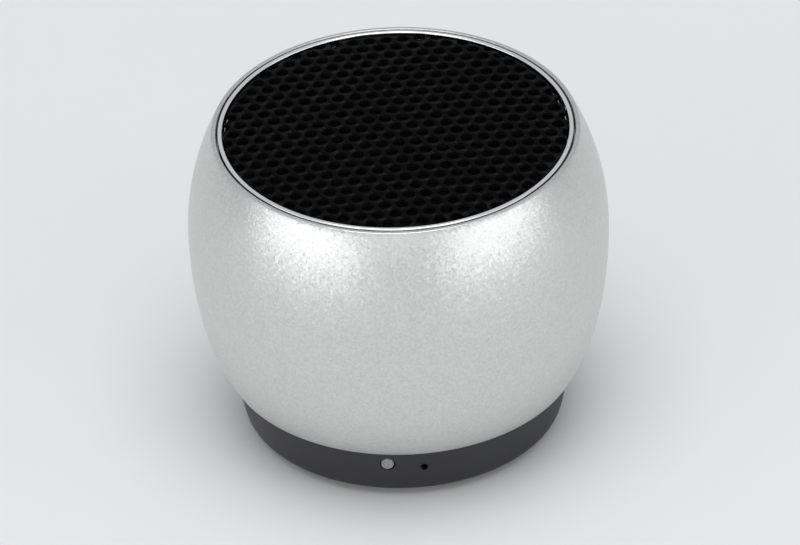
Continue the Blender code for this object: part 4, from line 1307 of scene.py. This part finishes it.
class SPEAKER_OT_board(bpy.types.Operator):
    """Make the circuit board and everything soldered to it"""
    bl_idname = "speaker.board"
    bl_label = "Circuit board"

    def execute(self, context):
        self.board()
        for node, pins in (("soc_chip", 8), ("amp_chip", 6), ("charge_chip", 3)):
            self.chip(node, pins)
        self.crystal()
        self.inductor()
        for node in ("capacitor_1", "capacitor_2", "chip_antenna"):
            self.capped_block(node)
        for pair in LEAD_ANGLES:
            self.wire_socket(pair)
        self.light()
        self.switch()
        self.passives()
        return {"FINISHED"}

    def board(self):
        top, bottom = high("circuit_board").z, low("circuit_board").z
        board = rod(16.0 * MM, bottom, top, segments=sizes().turn_segments)
        below, above = bottom - MM, top + MM
        screw_places = ring_places(BOARD_SCREW_RING, BOARD_SCREW_ANGLES)
        board = drill(board, 2.7 * MM, below, above, ring_places(BASE_SCREW_RING, BASE_SCREW_ANGLES))
        board = drill(board, 1.0 * MM, below, above, screw_places)
        make_piece(rounded(board, 0.04 * MM, 1, 50.0), "green_board", solder_mask(), "housing",
                   "circuit_board")
        rings = [
            (1.75 * MM, top + 0.03 * MM), (1.75 * MM, top + 0.005 * MM),
            (1.05 * MM, top + 0.005 * MM), (1.05 * MM, top + 0.03 * MM),
        ]
        pads = copies(turned(rings, 32), screw_places)
        make_piece(pads, "ground_rings", gold_plate(), "housing", slot="magnet_nickel")

    def chip(self, node, pins):
        corner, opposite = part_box(node)
        centre = (corner + opposite) / 2
        half = (opposite - corner) / 2
        body = rounded(block(corner, opposite), 0.10 * MM, 2)
        dot = rod(0.28 * MM, opposite.z - 0.03 * MM, opposite.z + MM,
                  (corner.x + 0.8 * MM, opposite.y - 0.8 * MM))
        body = cut(body, dot)
        make_piece(body, f"{node}_package", chip_epoxy(), "housing", node)
        board_top = high("circuit_board").z
        pitch = 2 * (half.y - 0.4 * MM) / max(1, pins - 1)
        legs = leads(half.x, board_top, pitch, pins)
        legs = move(join(legs), Matrix.Translation((centre.x, centre.y, 0)))
        make_piece(legs, f"{node}_legs", solder(), "housing", slot="zinc_steel")

    def crystal(self):
        can = rounded(node_block("crystal"), 0.45 * MM, 4, 80.0)
        make_piece(can, "crystal_can", nickel(), "housing", "crystal")

    def inductor(self):
        corner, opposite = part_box("power_inductor")
        body = rounded(block(corner, opposite), 0.35 * MM, 3)
        centre = (corner + opposite) / 2
        well = rod(1.45 * MM, opposite.z - 0.35 * MM, opposite.z + MM, (centre.x, centre.y))
        body = cut(body, well)
        make_piece(body, "inductor_core", ferrite(), "housing", "power_inductor")

    def capped_block(self, node):
        """A ceramic body with a solder cap at each end of its longer side."""
        corner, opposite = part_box(node)
        axis = 0 if opposite.x - corner.x > opposite.y - corner.y else 1
        body = rounded(paint(block(corner, opposite), 0), 0.12 * MM, 2)
        shapes = [body]
        grow = 0.03 * MM
        for end, inward in ((corner, 1), (opposite, -1)):
            first = corner - Vector((grow, grow, 0))
            second = opposite + Vector((grow, grow, grow))
            if inward > 0:
                first[axis], second[axis] = end[axis] - grow, end[axis] + 0.6 * MM
            else:
                first[axis], second[axis] = end[axis] - 0.6 * MM, end[axis] + grow
            shapes.append(rounded(paint(block(first, second), 1), 0.13 * MM, 2))
        finish = natural_nylon() if node == "chip_antenna" else tan_ceramic()
        make_piece(join(shapes), f"{node}_body", (finish, solder()), "housing", node)

    def wire_socket(self, pair):
        node = f"{pair}_socket"
        corner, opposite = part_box(node)
        centre = (corner + opposite) / 2
        half_deep, half_wide = 1.5 * MM, 2.25 * MM
        body = block((-half_deep, -half_wide, corner.z), (half_deep, half_wide, opposite.z))
        mouth = block((-half_deep + 0.5 * MM, 0.45 * MM - half_wide, corner.z + 0.55 * MM),
                      (half_deep + MM, half_wide - 0.45 * MM, opposite.z - 0.45 * MM))
        body = rounded(cut(body, mouth), 0.07 * MM, 2, 50.0)
        plug = block((0.1 * MM - half_deep + 0.5 * MM, 0.6 * MM - half_wide, corner.z + 0.7 * MM),
                     (half_deep - 0.1 * MM, half_wide - 0.6 * MM, opposite.z - 0.6 * MM))
        whole = join([body, rounded(plug, 0.1 * MM, 2)])
        matrix = Matrix.Translation((centre.x, centre.y, 0))
        matrix = matrix @ Matrix.Rotation(math.radians(LEAD_ANGLES[pair]), 4, "Z")
        make_piece(move(whole, matrix), f"{pair}_plug_socket", natural_nylon(), "housing", node)

    def light(self):
        corner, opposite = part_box("status_led")
        body = rounded(block(corner, opposite), 0.06 * MM, 2)
        dome = bmesh.new()
        bmesh.ops.create_uvsphere(dome, u_segments=20, v_segments=10, radius=0.34 * MM)
        centre = Vector(((corner.x + opposite.x) / 2, corner.y - 0.02 * MM, low("light_pipe").z + 0.7 * MM))
        move(dome, Matrix.Translation(centre) @ Matrix.Diagonal((1, 0.45, 1, 1)))
        make_piece(body, "led_package", natural_nylon(), "housing", "status_led")
        make_piece(dome, "led_lens", phosphor(), "housing", slot="socket_nylon")

    def switch(self):
        corner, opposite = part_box("switch_body")
        body = block(corner, opposite)
        body = cut(body, rod(1.9 * MM, corner.z - MM, opposite.z - 0.7 * MM))
        body = rounded(body, 0.10 * MM, 2, 50.0)
        make_piece(body, "tactile_switch", chip_epoxy(), "housing", "switch_body")
        plate = block((corner.x + 0.25 * MM, corner.y + 0.25 * MM, corner.z - 0.10 * MM),
                      (opposite.x - 0.25 * MM, opposite.y - 0.25 * MM, corner.z + 0.05 * MM))
        plate = cut(plate, rod(2.0 * MM, corner.z - MM, opposite.z))
        make_piece(rounded(plate, 0.04 * MM, 2, 50.0), "switch_cover", zinc_steel(), "housing",
                   slot="zinc_steel")
        stem = node_disc("switch_plunger", FINE_SEGMENTS)
        make_piece(rounded(stem, 0.25 * MM, 4), "plunger_stem", natural_nylon(), "plunger",
                   "switch_plunger")

    def passives(self):
        """Small resistors and capacitors in rows between the larger parts."""
        top = high("circuit_board").z
        shapes = []
        rows = ((-8.5, 6.5, 5, 0), (-1.2, -6.6, 4, 0), (-4.5, 9.8, 4, 0), (9.9, 1.2, 3, 90))
        for x, y, count, turn in rows:
            for index in range(count):
                body = rounded(paint(block((-0.5 * MM, -0.25 * MM, 0), (0.5 * MM, 0.25 * MM, 0.35 * MM)),
                                     index % 2), 0.04 * MM, 1)
                caps = [
                    rounded(paint(block((sign * 0.5 * MM - 0.12 * MM, -0.27 * MM, -0.02 * MM),
                                        (sign * 0.5 * MM + 0.12 * MM, 0.27 * MM, 0.37 * MM)), 2),
                            0.04 * MM, 1)
                    for sign in (-1, 1)
                ]
                place = Matrix.Translation((x * MM, y * MM, top + 0.03 * MM))
                place = place @ Matrix.Rotation(math.radians(turn), 4, "Z")
                place = place @ Matrix.Translation((0, -index * 1.05 * MM, 0))
                shapes.append(move(join([body, *caps]), place))
        make_piece(join(shapes), "board_passives", (chip_epoxy(), tan_ceramic(), solder()),
                   "housing", slot="ceramic_tan")


# ---------------------------------------------------------------- socket

class SPEAKER_OT_socket(bpy.types.Operator):
    """Make the micro-USB receptacle and its tongue"""
    bl_idname = "speaker.socket"
    bl_label = "USB socket"

    def section(self, grow, y):
        """Outline of the receptacle in X and Z: flat on top, with slanted lower corners."""
        half, slant = (high("usb_shell").x + grow), 0.95 * MM
        bottom, top = low("usb_shell").z - grow, high("usb_shell").z + grow
        return [
            (-half, y, top), (half, y, top), (half, y, bottom + slant),
            (half - slant, y, bottom), (slant - half, y, bottom), (-half, y, bottom + slant),
        ]

    def prism(self, grow, start, end):
        shape = bmesh.new()
        face = shape.faces.new([shape.verts.new(point) for point in self.section(grow, start)])
        thicken(shape, [face], (0, end - start, 0))
        bmesh.ops.recalc_face_normals(shape, faces=shape.faces)
        return rounded(shape, 0.22 * MM, 3, 30.0) if grow < 0 else shape

    def execute(self, context):
        wall = 0.3 * MM
        back, front = low("usb_shell").y, high("usb_shell").y
        outer = self.prism(0, back, front)
        along = [
            edge for edge in outer.edges
            if abs(edge.verts[0].co.y - edge.verts[1].co.y) > MM
        ]
        bevel_edges(outer, along, 0.4 * MM, 4)
        shell = cut(outer, self.prism(-wall, back + wall, front + MM))
        shell = rounded(shell, 0.05 * MM, 2, 50.0)
        make_piece(shell, "socket_shell", nickel(), "housing", "usb_shell")
        corner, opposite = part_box("usb_tongue")
        tongue = rounded(paint(block(corner, opposite), 0), 0.1 * MM, 2)
        strips = [tongue]
        for index in range(5):
            x = (index - 2) * 0.65 * MM
            strip = block((x - 0.15 * MM, corner.y + 0.3 * MM, corner.z - 0.03 * MM),
                          (x + 0.15 * MM, opposite.y - 0.3 * MM, corner.z + 0.05 * MM))
            strips.append(paint(strip, 1))
        make_piece(join(strips), "socket_tongue", (chip_epoxy(), gold_plate()), "housing",
                   "usb_tongue")
        return {"FINISHED"}


# ---------------------------------------------------------------- base

BAND_TOP = 6.8 * MM
BAND_TOP_RADIUS = high("base_cover").x
BAND_BOTTOM_RADIUS = 17.4 * MM
BASE_BOTTOM = low("base_cover").z
FLOOR_TOP = 2.6 * MM
CUP_BORE = 16.2 * MM


def band(z):
    """Outer radius of the base's visible band at a height."""
    share = (z - BASE_BOTTOM) / (BAND_TOP - BASE_BOTTOM)
    return BAND_BOTTOM_RADIUS + (BAND_TOP_RADIUS - BAND_BOTTOM_RADIUS) * max(share, 0) ** 0.6


class SPEAKER_OT_base(bpy.types.Operator):
    """Make the moulded base cover and the saddle round the socket"""
    bl_idname = "speaker.base"
    bl_label = "Base cover"

    def cover(self):
        spigot, spigot_top, groove_top = 17.5 * MM, 9.6 * MM, high("foot_ring").z + 0.1 * MM
        groove_outer = high("foot_ring").x + 0.2 * MM
        groove_inner = inner_radius("foot_ring") - 0.2 * MM
        button_hole, post_top, sink = 4.7 * MM, 9.7 * MM, FLOOR_TOP - 0.3 * MM
        outline = [(spigot, spigot_top), (spigot, BAND_TOP)]
        outline += [(band(z), z) for z in levels(BAND_TOP, BASE_BOTTOM, 14)]
        outline += [
            (groove_outer, BASE_BOTTOM), (groove_outer, groove_top), (groove_inner, groove_top),
            (groove_inner, BASE_BOTTOM), (button_hole, BASE_BOTTOM), (button_hole, FLOOR_TOP),
            (CUP_BORE, FLOOR_TOP), (CUP_BORE, spigot_top),
        ]
        cover = rounded(turned(outline), 0.15 * MM, 3, 40.0)
        screw_places = ring_places(BASE_SCREW_RING, BASE_SCREW_ANGLES)
        board_places = ring_places(BOARD_SCREW_RING, BOARD_SCREW_ANGLES)
        cover = add_posts(cover, 2.4 * MM, sink, post_top, screw_places)
        cover = add_posts(cover, 1.8 * MM, sink, 5.7 * MM, board_places)
        above = post_top + MM
        cover = drill(cover, 1.1 * MM, 0, above, screw_places)
        cover = drill(cover, 1.85 * MM, 0, 3.4 * MM, screw_places)
        cover = drill(cover, 0.9 * MM, FLOOR_TOP + 0.2 * MM, above, board_places)
        slot_half, slot_floor = 5.0 * MM, 2.75 * MM
        cover = cut(cover, block((-slot_half, CUP_BORE - MM, slot_floor),
                                 (slot_half, BAND_TOP_RADIUS + MM, above)))
        pipe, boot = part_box("light_pipe"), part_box("mic_boot")
        inside, outside = MM - CUP_BORE, -BAND_TOP_RADIUS - MM
        pipe_radius = (pipe[1].x - pipe[0].x) / 2
        centre = (pipe[0] + pipe[1]) / 2
        hole = lying_rod(pipe_radius + 0.15 * MM, inside, outside, centre.x, centre.z)
        cover = cut(cover, hole)
        centre = (boot[0] + boot[1]) / 2
        cover = cut(cover, lying_rod(0.4 * MM, inside, outside, centre.x, centre.z))
        countersink = bmesh.new()
        bmesh.ops.create_cone(
            countersink, cap_ends=True, segments=sizes().small_segments,
            radius1=0.9 * MM, radius2=0.4 * MM, depth=0.5 * MM,
            matrix=Matrix.Translation((centre.x, -band(centre.z), centre.z))
            @ Matrix.Rotation(-math.pi / 2, 4, "X"),
        )
        cover = cut(cover, countersink)
        make_piece(cover, "moulded_base", base_plastic(), "housing", "base_cover")

    def saddle(self):
        bottom = low("port_frame").z
        inner = CUP_BORE + 0.1 * MM
        outline = [(band(z), z) for z in levels(BAND_TOP, bottom, 10)]
        outline += [(inner, bottom), (inner, BAND_TOP)]
        half, deep = high("port_frame").x, 20 * MM
        ring = cut(turned(outline), block((-half, 10 * MM, bottom - MM), (half, deep, BAND_TOP + MM)),
                   "INTERSECT")
        jack_half, jack_top = high("usb_shell").x + 0.2 * MM, high("usb_shell").z + 0.2 * MM
        opening = rounded(block((-jack_half, 10 * MM, bottom - 2 * MM), (jack_half, deep, jack_top)),
                          0.45 * MM, 4)
        saddle = rounded(cut(ring, opening), 0.10 * MM, 3, 40.0)
        make_piece(saddle, "socket_saddle", base_plastic(), "housing", "port_frame")

    def execute(self, context):
        self.cover()
        self.saddle()
        return {"FINISHED"}


class SPEAKER_OT_underside(bpy.types.Operator):
    """Make the rubber foot ring and the power button with its symbol"""
    bl_idname = "speaker.underside"
    bl_label = "Foot and button"

    def foot(self):
        inner, outer = inner_radius("foot_ring"), high("foot_ring").x
        top, edge, groove = high("foot_ring").z, 0.4 * MM, 0.12 * MM
        outline = [(outer, top), (outer, edge)]
        outline += arc((outer - edge, edge), (edge, edge), 0, -90, 6)[1:]
        for groove_radius in (15.1, 14.5, 13.9, 13.3):
            middle = groove_radius * MM
            outline += [(middle + groove, 0), (middle, groove), (middle - groove, 0)]
        outline += arc((inner + edge, edge), (edge, edge), 270, 180, 6)
        outline += [(inner, top)]
        make_piece(turned(outline), "grooved_foot", silicone(), "housing", "foot_ring")

    def button(self):
        face, stem_top = low("power_button").z, high("power_button").z
        radius, flange, stem = 4.4 * MM, high("power_button").x, 1.5 * MM
        flange_bottom, flange_top, dish = 2.7 * MM, 3.2 * MM, 0.12 * MM
        edge = 0.35 * MM
        outline = [(0, stem_top), (stem, stem_top), (stem, flange_top), (flange, flange_top),
                   (flange, flange_bottom), (radius, flange_bottom)]
        outline += arc((radius - edge, face + edge), (edge, edge), 0, -90, 6)
        outline += [
            (r, face + dish * math.cos(math.pi / 2 * r / (radius - edge)) ** 2)
            for r in levels(radius - edge, 0, 10)[1:]
        ]
        cap = turned(outline, CORE_SEGMENTS)
        symbol = bmesh.new()
        low_z, high_z = face + 0.03 * MM, face + 0.25 * MM
        near, far = 1.28 * MM, 1.56 * MM
        corners = [(near, low_z), (far, low_z), (far, high_z), (near, high_z)]
        start = Matrix.Rotation(math.radians(125), 3, "Z")
        points = [symbol.verts.new(start @ Vector((r, 0, z))) for r, z in corners]
        face_start = symbol.faces.new(points)
        bmesh.ops.spin(
            symbol, geom=[face_start], cent=(0, 0, 0), axis=(0, 0, 1), dvec=(0, 0, 0),
            angle=math.radians(290), steps=36, use_merge=False,
        )
        bmesh.ops.recalc_face_normals(symbol, faces=symbol.faces)
        half_bar = (far - near) / 2
        bar = block((-half_bar, 0.35 * MM, low_z), (half_bar, 1.85 * MM, high_z))
        raised = [paint(rounded(shape, 0.03 * MM, 1, 50.0), 1) for shape in (symbol, bar)]
        make_piece(join([cap, *raised]), "rubber_button", (silicone(), pale_ink()), "button",
                   "power_button")

    def execute(self, context):
        self.foot()
        self.button()
        return {"FINISHED"}


class SPEAKER_OT_front_parts(bpy.types.Operator):
    """Make the light pipe, the microphone and its rubber boot"""
    bl_idname = "speaker.front_parts"
    bl_label = "Light pipe and microphone"

    def execute(self, context):
        corner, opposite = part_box("light_pipe")
        centre, radius = (corner + opposite) / 2, (opposite.x - corner.x) / 2
        pipe = lying_rod(radius, opposite.y, corner.y, centre.x, centre.z, FINE_SEGMENTS)
        pipe = rounded(pipe, 0.15 * MM, 4)
        make_piece(pipe, "clear_light_pipe", clear_acrylic(), "housing", "light_pipe")
        corner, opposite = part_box("microphone")
        centre, radius = (corner + opposite) / 2, (opposite.x - corner.x) / 2
        can = lying_rod(radius, opposite.y, corner.y, centre.x, centre.z, FINE_SEGMENTS)
        can = rounded(can, 0.2 * MM, 3)
        hole = lying_rod(0.3 * MM, corner.y + 0.3 * MM, corner.y - MM, centre.x, centre.z)
        make_piece(cut(can, hole), "microphone_can", nickel(), "housing", "microphone")
        corner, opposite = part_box("mic_boot")
        boot = lying_rod(radius, opposite.y, corner.y, centre.x, centre.z, FINE_SEGMENTS)
        boot = rounded(boot, 0.12 * MM, 3)
        duct = lying_rod(0.4 * MM, opposite.y + MM, corner.y - MM, centre.x, centre.z)
        make_piece(cut(boot, duct), "rubber_boot", silicone(), "housing", "mic_boot")
        return {"FINISHED"}


# ---------------------------------------------------------------- screws and wires

class SPEAKER_OT_screws(bpy.types.Operator):
    """Make the base and board screws with their threads and cross recesses"""
    bl_idname = "speaker.screws"
    bl_label = "Screws"

    def screw(self, node, name, head_radius, shank_radius, head_tall, head_down):
        """A screw along Z; its head is at the bottom when head_down."""
        bottom, top = low(node).z, high(node).z
        length, cut_deep = top - bottom, 0.16 * MM
        edge = 0.15 * MM
        outline = [(0, length), (shank_radius * 0.45, length), (shank_radius, length - 0.5 * MM)]
        outline += [(shank_radius, z) for z in levels(length - 0.5 * MM, head_tall, 150)[1:]]
        outline += [(head_radius, head_tall), (head_radius, edge)]
        outline += arc((head_radius - edge, edge), (edge, edge), 0, -90, 3)[1:]
        outline += [(0, 0)]
        screw = turned(outline, 24)
        pitch = sizes().thread_pitch
        for vert in screw.verts:
            radius = math.hypot(vert.co.x, vert.co.y)
            above_head = vert.co.z - head_tall - 0.4 * MM
            if above_head < 0 or radius < shank_radius * 0.9:
                continue
            turn = math.atan2(vert.co.y, vert.co.x) / (2 * math.pi)
            phase = (vert.co.z / pitch - turn) % 1.0
            shrink = cut_deep * abs(2 * phase - 1) * min(1, above_head / (0.4 * MM))
            vert.co.x *= 1 - shrink / radius
            vert.co.y *= 1 - shrink / radius
        arm, thin, deep = head_radius * 0.62, 0.17 * MM, head_tall * 0.55
        cross = cut(block((-arm, -thin, -deep), (arm, thin, deep)),
                    block((-thin, -arm, -deep), (thin, arm, deep)), "UNION")
        screw = cut(screw, cross)
        centre = (low(node) + high(node)) / 2
        if head_down:
            place = Matrix.Translation((centre.x, centre.y, bottom))
        else:
            flip = Matrix.Rotation(math.pi, 4, "X")
            place = Matrix.Translation((centre.x, centre.y, top)) @ flip
        make_piece(move(screw, place), name, zinc_steel(), "housing", node)

    def execute(self, context):
        for number in (1, 2, 3):
            self.screw(f"base_screw_{number}", f"base_fixing_{number}", 1.7 * MM, 0.95 * MM,
                       1.2 * MM, True)
            self.screw(f"board_screw_{number}", f"board_fixing_{number}", 1.35 * MM, 0.75 * MM,
                       1.0 * MM, False)
        return {"FINISHED"}


WIRE_RADIUS = 0.45 * MM
WIRE_SPREAD = 0.75 * MM
# Routes of the two wire pairs in millimetres: distance from the axis, bearing in degrees, height
WIRE_ROUTES = {
    "battery": (
        (13.8, -90, 8.4), (14.5, -90, 8.6), (15.0, -90, 9.6), (15.0, -90, 11.4),
        (14.9, -90, 13.4), (14.2, -90, 15.6), (12.8, -90, 17.2), (11.3, -90, 17.7),
        (10.3, -90, 17.7),
    ),
    "speaker": (
        (14.2, -28, 8.4), (14.9, -28, 8.7), (15.2, -28, 9.8), (15.2, -28, 11.6),
        (15.2, -28, 13.6), (15.6, -27, 16.2), (15.9, -24, 19.2), (15.8, -18, 22.0),
        (15.1, -12, 24.1), (14.0, -8, 25.1), (12.9, -5.5, 25.25),
    ),
}


def smooth_route(points, steps):
    """Points on a Catmull-Rom curve through the route's own points."""
    ends = [2 * points[0] - points[1]] + points + [2 * points[-1] - points[-2]]
    fine = []
    for before, start, end, after in zip(ends, ends[1:], ends[2:], ends[3:]):
        for step in range(steps):
            t = step / steps
            fine.append(0.5 * (
                2 * start + (end - before) * t
                + (2 * before - 5 * start + 4 * end - after) * t * t
                + (3 * start - before - 3 * end + after) * t ** 3
            ))
    return fine + [points[-1]]


class SPEAKER_OT_wires(bpy.types.Operator):
    """Make the red and black wire pairs to the battery and to the driver"""
    bl_idname = "speaker.wires"
    bl_label = "Wires"

    def execute(self, context):
        for pair, route in WIRE_ROUTES.items():
            for colour, side, finish in (("red", 1, red_vinyl()), ("black", -1, black_vinyl())):
                node = f"{pair}_wire_{colour}"
                points = [
                    polar(radius * MM, degrees, height * MM) + polar(side * WIRE_SPREAD, degrees + 90)
                    for radius, degrees, height in route
                ]
                even = smooth_route(points, 6)
                curve = bpy.data.curves.new(f"{pair}_lead_{colour}", "CURVE")
                curve.dimensions = "3D"
                curve.bevel_depth = WIRE_RADIUS
                curve.bevel_resolution = 4
                curve.use_fill_caps = True
                spline = curve.splines.new("POLY")
                spline.points.add(len(even) - 1)
                for knot, point in zip(spline.points, even):
                    knot.co = (*point, 1.0)
                spline.use_smooth = True
                curve.materials.append(finish)
                wire = bpy.data.objects.new(curve.name, curve)
                context.scene.collection.objects.link(wire)
                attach(wire, "housing")
                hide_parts(node)
        return {"FINISHED"}


# ---------------------------------------------------------------- stage

@once
def floor_finish():
    colour = tuple(colours().floor)
    material, tree, shader = new_material("Studio floor", colour, 0.62, 0.0,
                                          Specular_IOR_Level=0.3)
    grain = noise(tree, place_of(tree), 60.0, 3.0)
    tone = blend_colour(tree, grain, shade(colour, 0.99), shade(colour, 1.01))
    feed(tree, shader, Base_Color=tone)
    return material


# Distances in metres, the lens in millimetres, angles in degrees
LIGHT_DISTANCE = 0.9
CAMERA_LENS = 395
CAMERA_DISTANCE = 0.963
CAMERA_TARGET = 17.6 * MM
CAMERA_ELEVATION = 35
CAMERA_ROLL = -1.8


def softbox(name, azimuth, elevation, size, power):
    """A flat area light that looks at the middle of the speaker. Azimuth 0 is the front."""
    light = bpy.data.lights.new(name, "AREA")
    light.shape = "RECTANGLE"
    light.size, light.size_y = size
    light.energy = power
    lamp = bpy.data.objects.new(name, light)
    around, up = math.radians(FRONT + azimuth), math.radians(elevation)
    target = Vector((0, 0, high("shell").z * 0.6))
    away = Vector((math.cos(up) * math.cos(around), math.cos(up) * math.sin(around), math.sin(up)))
    lamp.location = target + LIGHT_DISTANCE * away
    lamp.rotation_euler = away.to_track_quat("Z", "Y").to_euler()
    bpy.context.scene.collection.objects.link(lamp)


class SPEAKER_OT_stage(bpy.types.Operator):
    """Make the floor, the lights and the camera"""
    bl_idname = "speaker.stage"
    bl_label = "Stage"

    def execute(self, context):
        floor = bmesh.new()
        bmesh.ops.create_grid(floor, x_segments=1, y_segments=1, size=6.0)
        mesh = bpy.data.meshes.new("studio_floor")
        floor.to_mesh(mesh)
        floor.free()
        mesh.materials.append(floor_finish())
        ground = bpy.data.objects.new("studio_floor", mesh)
        context.scene.collection.objects.link(ground)
        self.lights(context)
        self.camera(context)
        return {"FINISHED"}

    def lights(self, context):
        softbox("left_panel", -51, 10, (1.00, 0.36), 1.80)
        softbox("right_panel", 53, 10, (1.00, 0.36), 1.65)
        softbox("front_fill", 0, 20, (0.40, 0.40), 0.36)
        softbox("overhead_box", 0, 82, (0.70, 0.70), 3.2)
        context.scene.view_settings.view_transform = "Standard"
        world = bpy.data.worlds.new("studio")
        world.use_nodes = True
        sky = world.node_tree.nodes["Background"]
        sky.inputs["Color"].default_value = (0.97, 0.98, 1.0, 1.0)
        sky.inputs["Strength"].default_value = 0.55
        context.scene.world = world

    def camera(self, context):
        lens = bpy.data.cameras.new("studio_camera")
        lens.lens = CAMERA_LENS
        lens.sensor_width = 36
        lens.clip_start = 0.01
        eye = bpy.data.objects.new("studio_camera", lens)
        target, up = Vector((0, 0, CAMERA_TARGET)), math.radians(CAMERA_ELEVATION)
        eye.location = target + CAMERA_DISTANCE * Vector((0, -math.cos(up), math.sin(up)))
        look = (eye.location - target).to_track_quat("Z", "Y").to_matrix().to_4x4()
        roll = Matrix.Rotation(math.radians(CAMERA_ROLL), 4, "Z")
        eye.rotation_euler = (look @ roll).to_euler()
        context.scene.collection.objects.link(eye)
        context.scene.camera = eye


# ---------------------------------------------------------------- panel and registration

OPERATORS = (
    SPEAKER_OT_stage, SPEAKER_OT_shell, SPEAKER_OT_grille, SPEAKER_OT_driver_frame,
    SPEAKER_OT_cone, SPEAKER_OT_magnet, SPEAKER_OT_battery, SPEAKER_OT_board,
    SPEAKER_OT_socket, SPEAKER_OT_base, SPEAKER_OT_underside, SPEAKER_OT_front_parts,
    SPEAKER_OT_screws, SPEAKER_OT_wires,
)


class SPEAKER_PT_maker(bpy.types.Panel):
    """Sizes, colours and one button for each group of pieces"""
    bl_idname = "SPEAKER_PT_maker"
    bl_label = "Speaker Maker"
    bl_space_type = "VIEW_3D"
    bl_region_type = "UI"
    bl_category = "Speaker"

    def draw(self, context):
        for group in (context.scene.speaker_sizes, context.scene.speaker_colours):
            column = self.layout.column(align=True)
            for key in group.__annotations__:
                column.prop(group, key)
        column = self.layout.column(align=True)
        for operator in OPERATORS:
            column.operator(operator.bl_idname)


CLASSES = (SpeakerSizes, SpeakerColours, *OPERATORS, SPEAKER_PT_maker)


def register():
    for item in CLASSES:
        bpy.utils.register_class(item)
    bpy.types.Scene.speaker_sizes = PointerProperty(type=SpeakerSizes)
    bpy.types.Scene.speaker_colours = PointerProperty(type=SpeakerColours)


def unregister():
    del bpy.types.Scene.speaker_colours
    del bpy.types.Scene.speaker_sizes
    for item in reversed(CLASSES):
        bpy.utils.unregister_class(item)


def main():
    register()
    for operator in OPERATORS:
        group, name = operator.bl_idname.split(".")
        getattr(getattr(bpy.ops, group), name)()


if __name__ == "__main__":
    main()
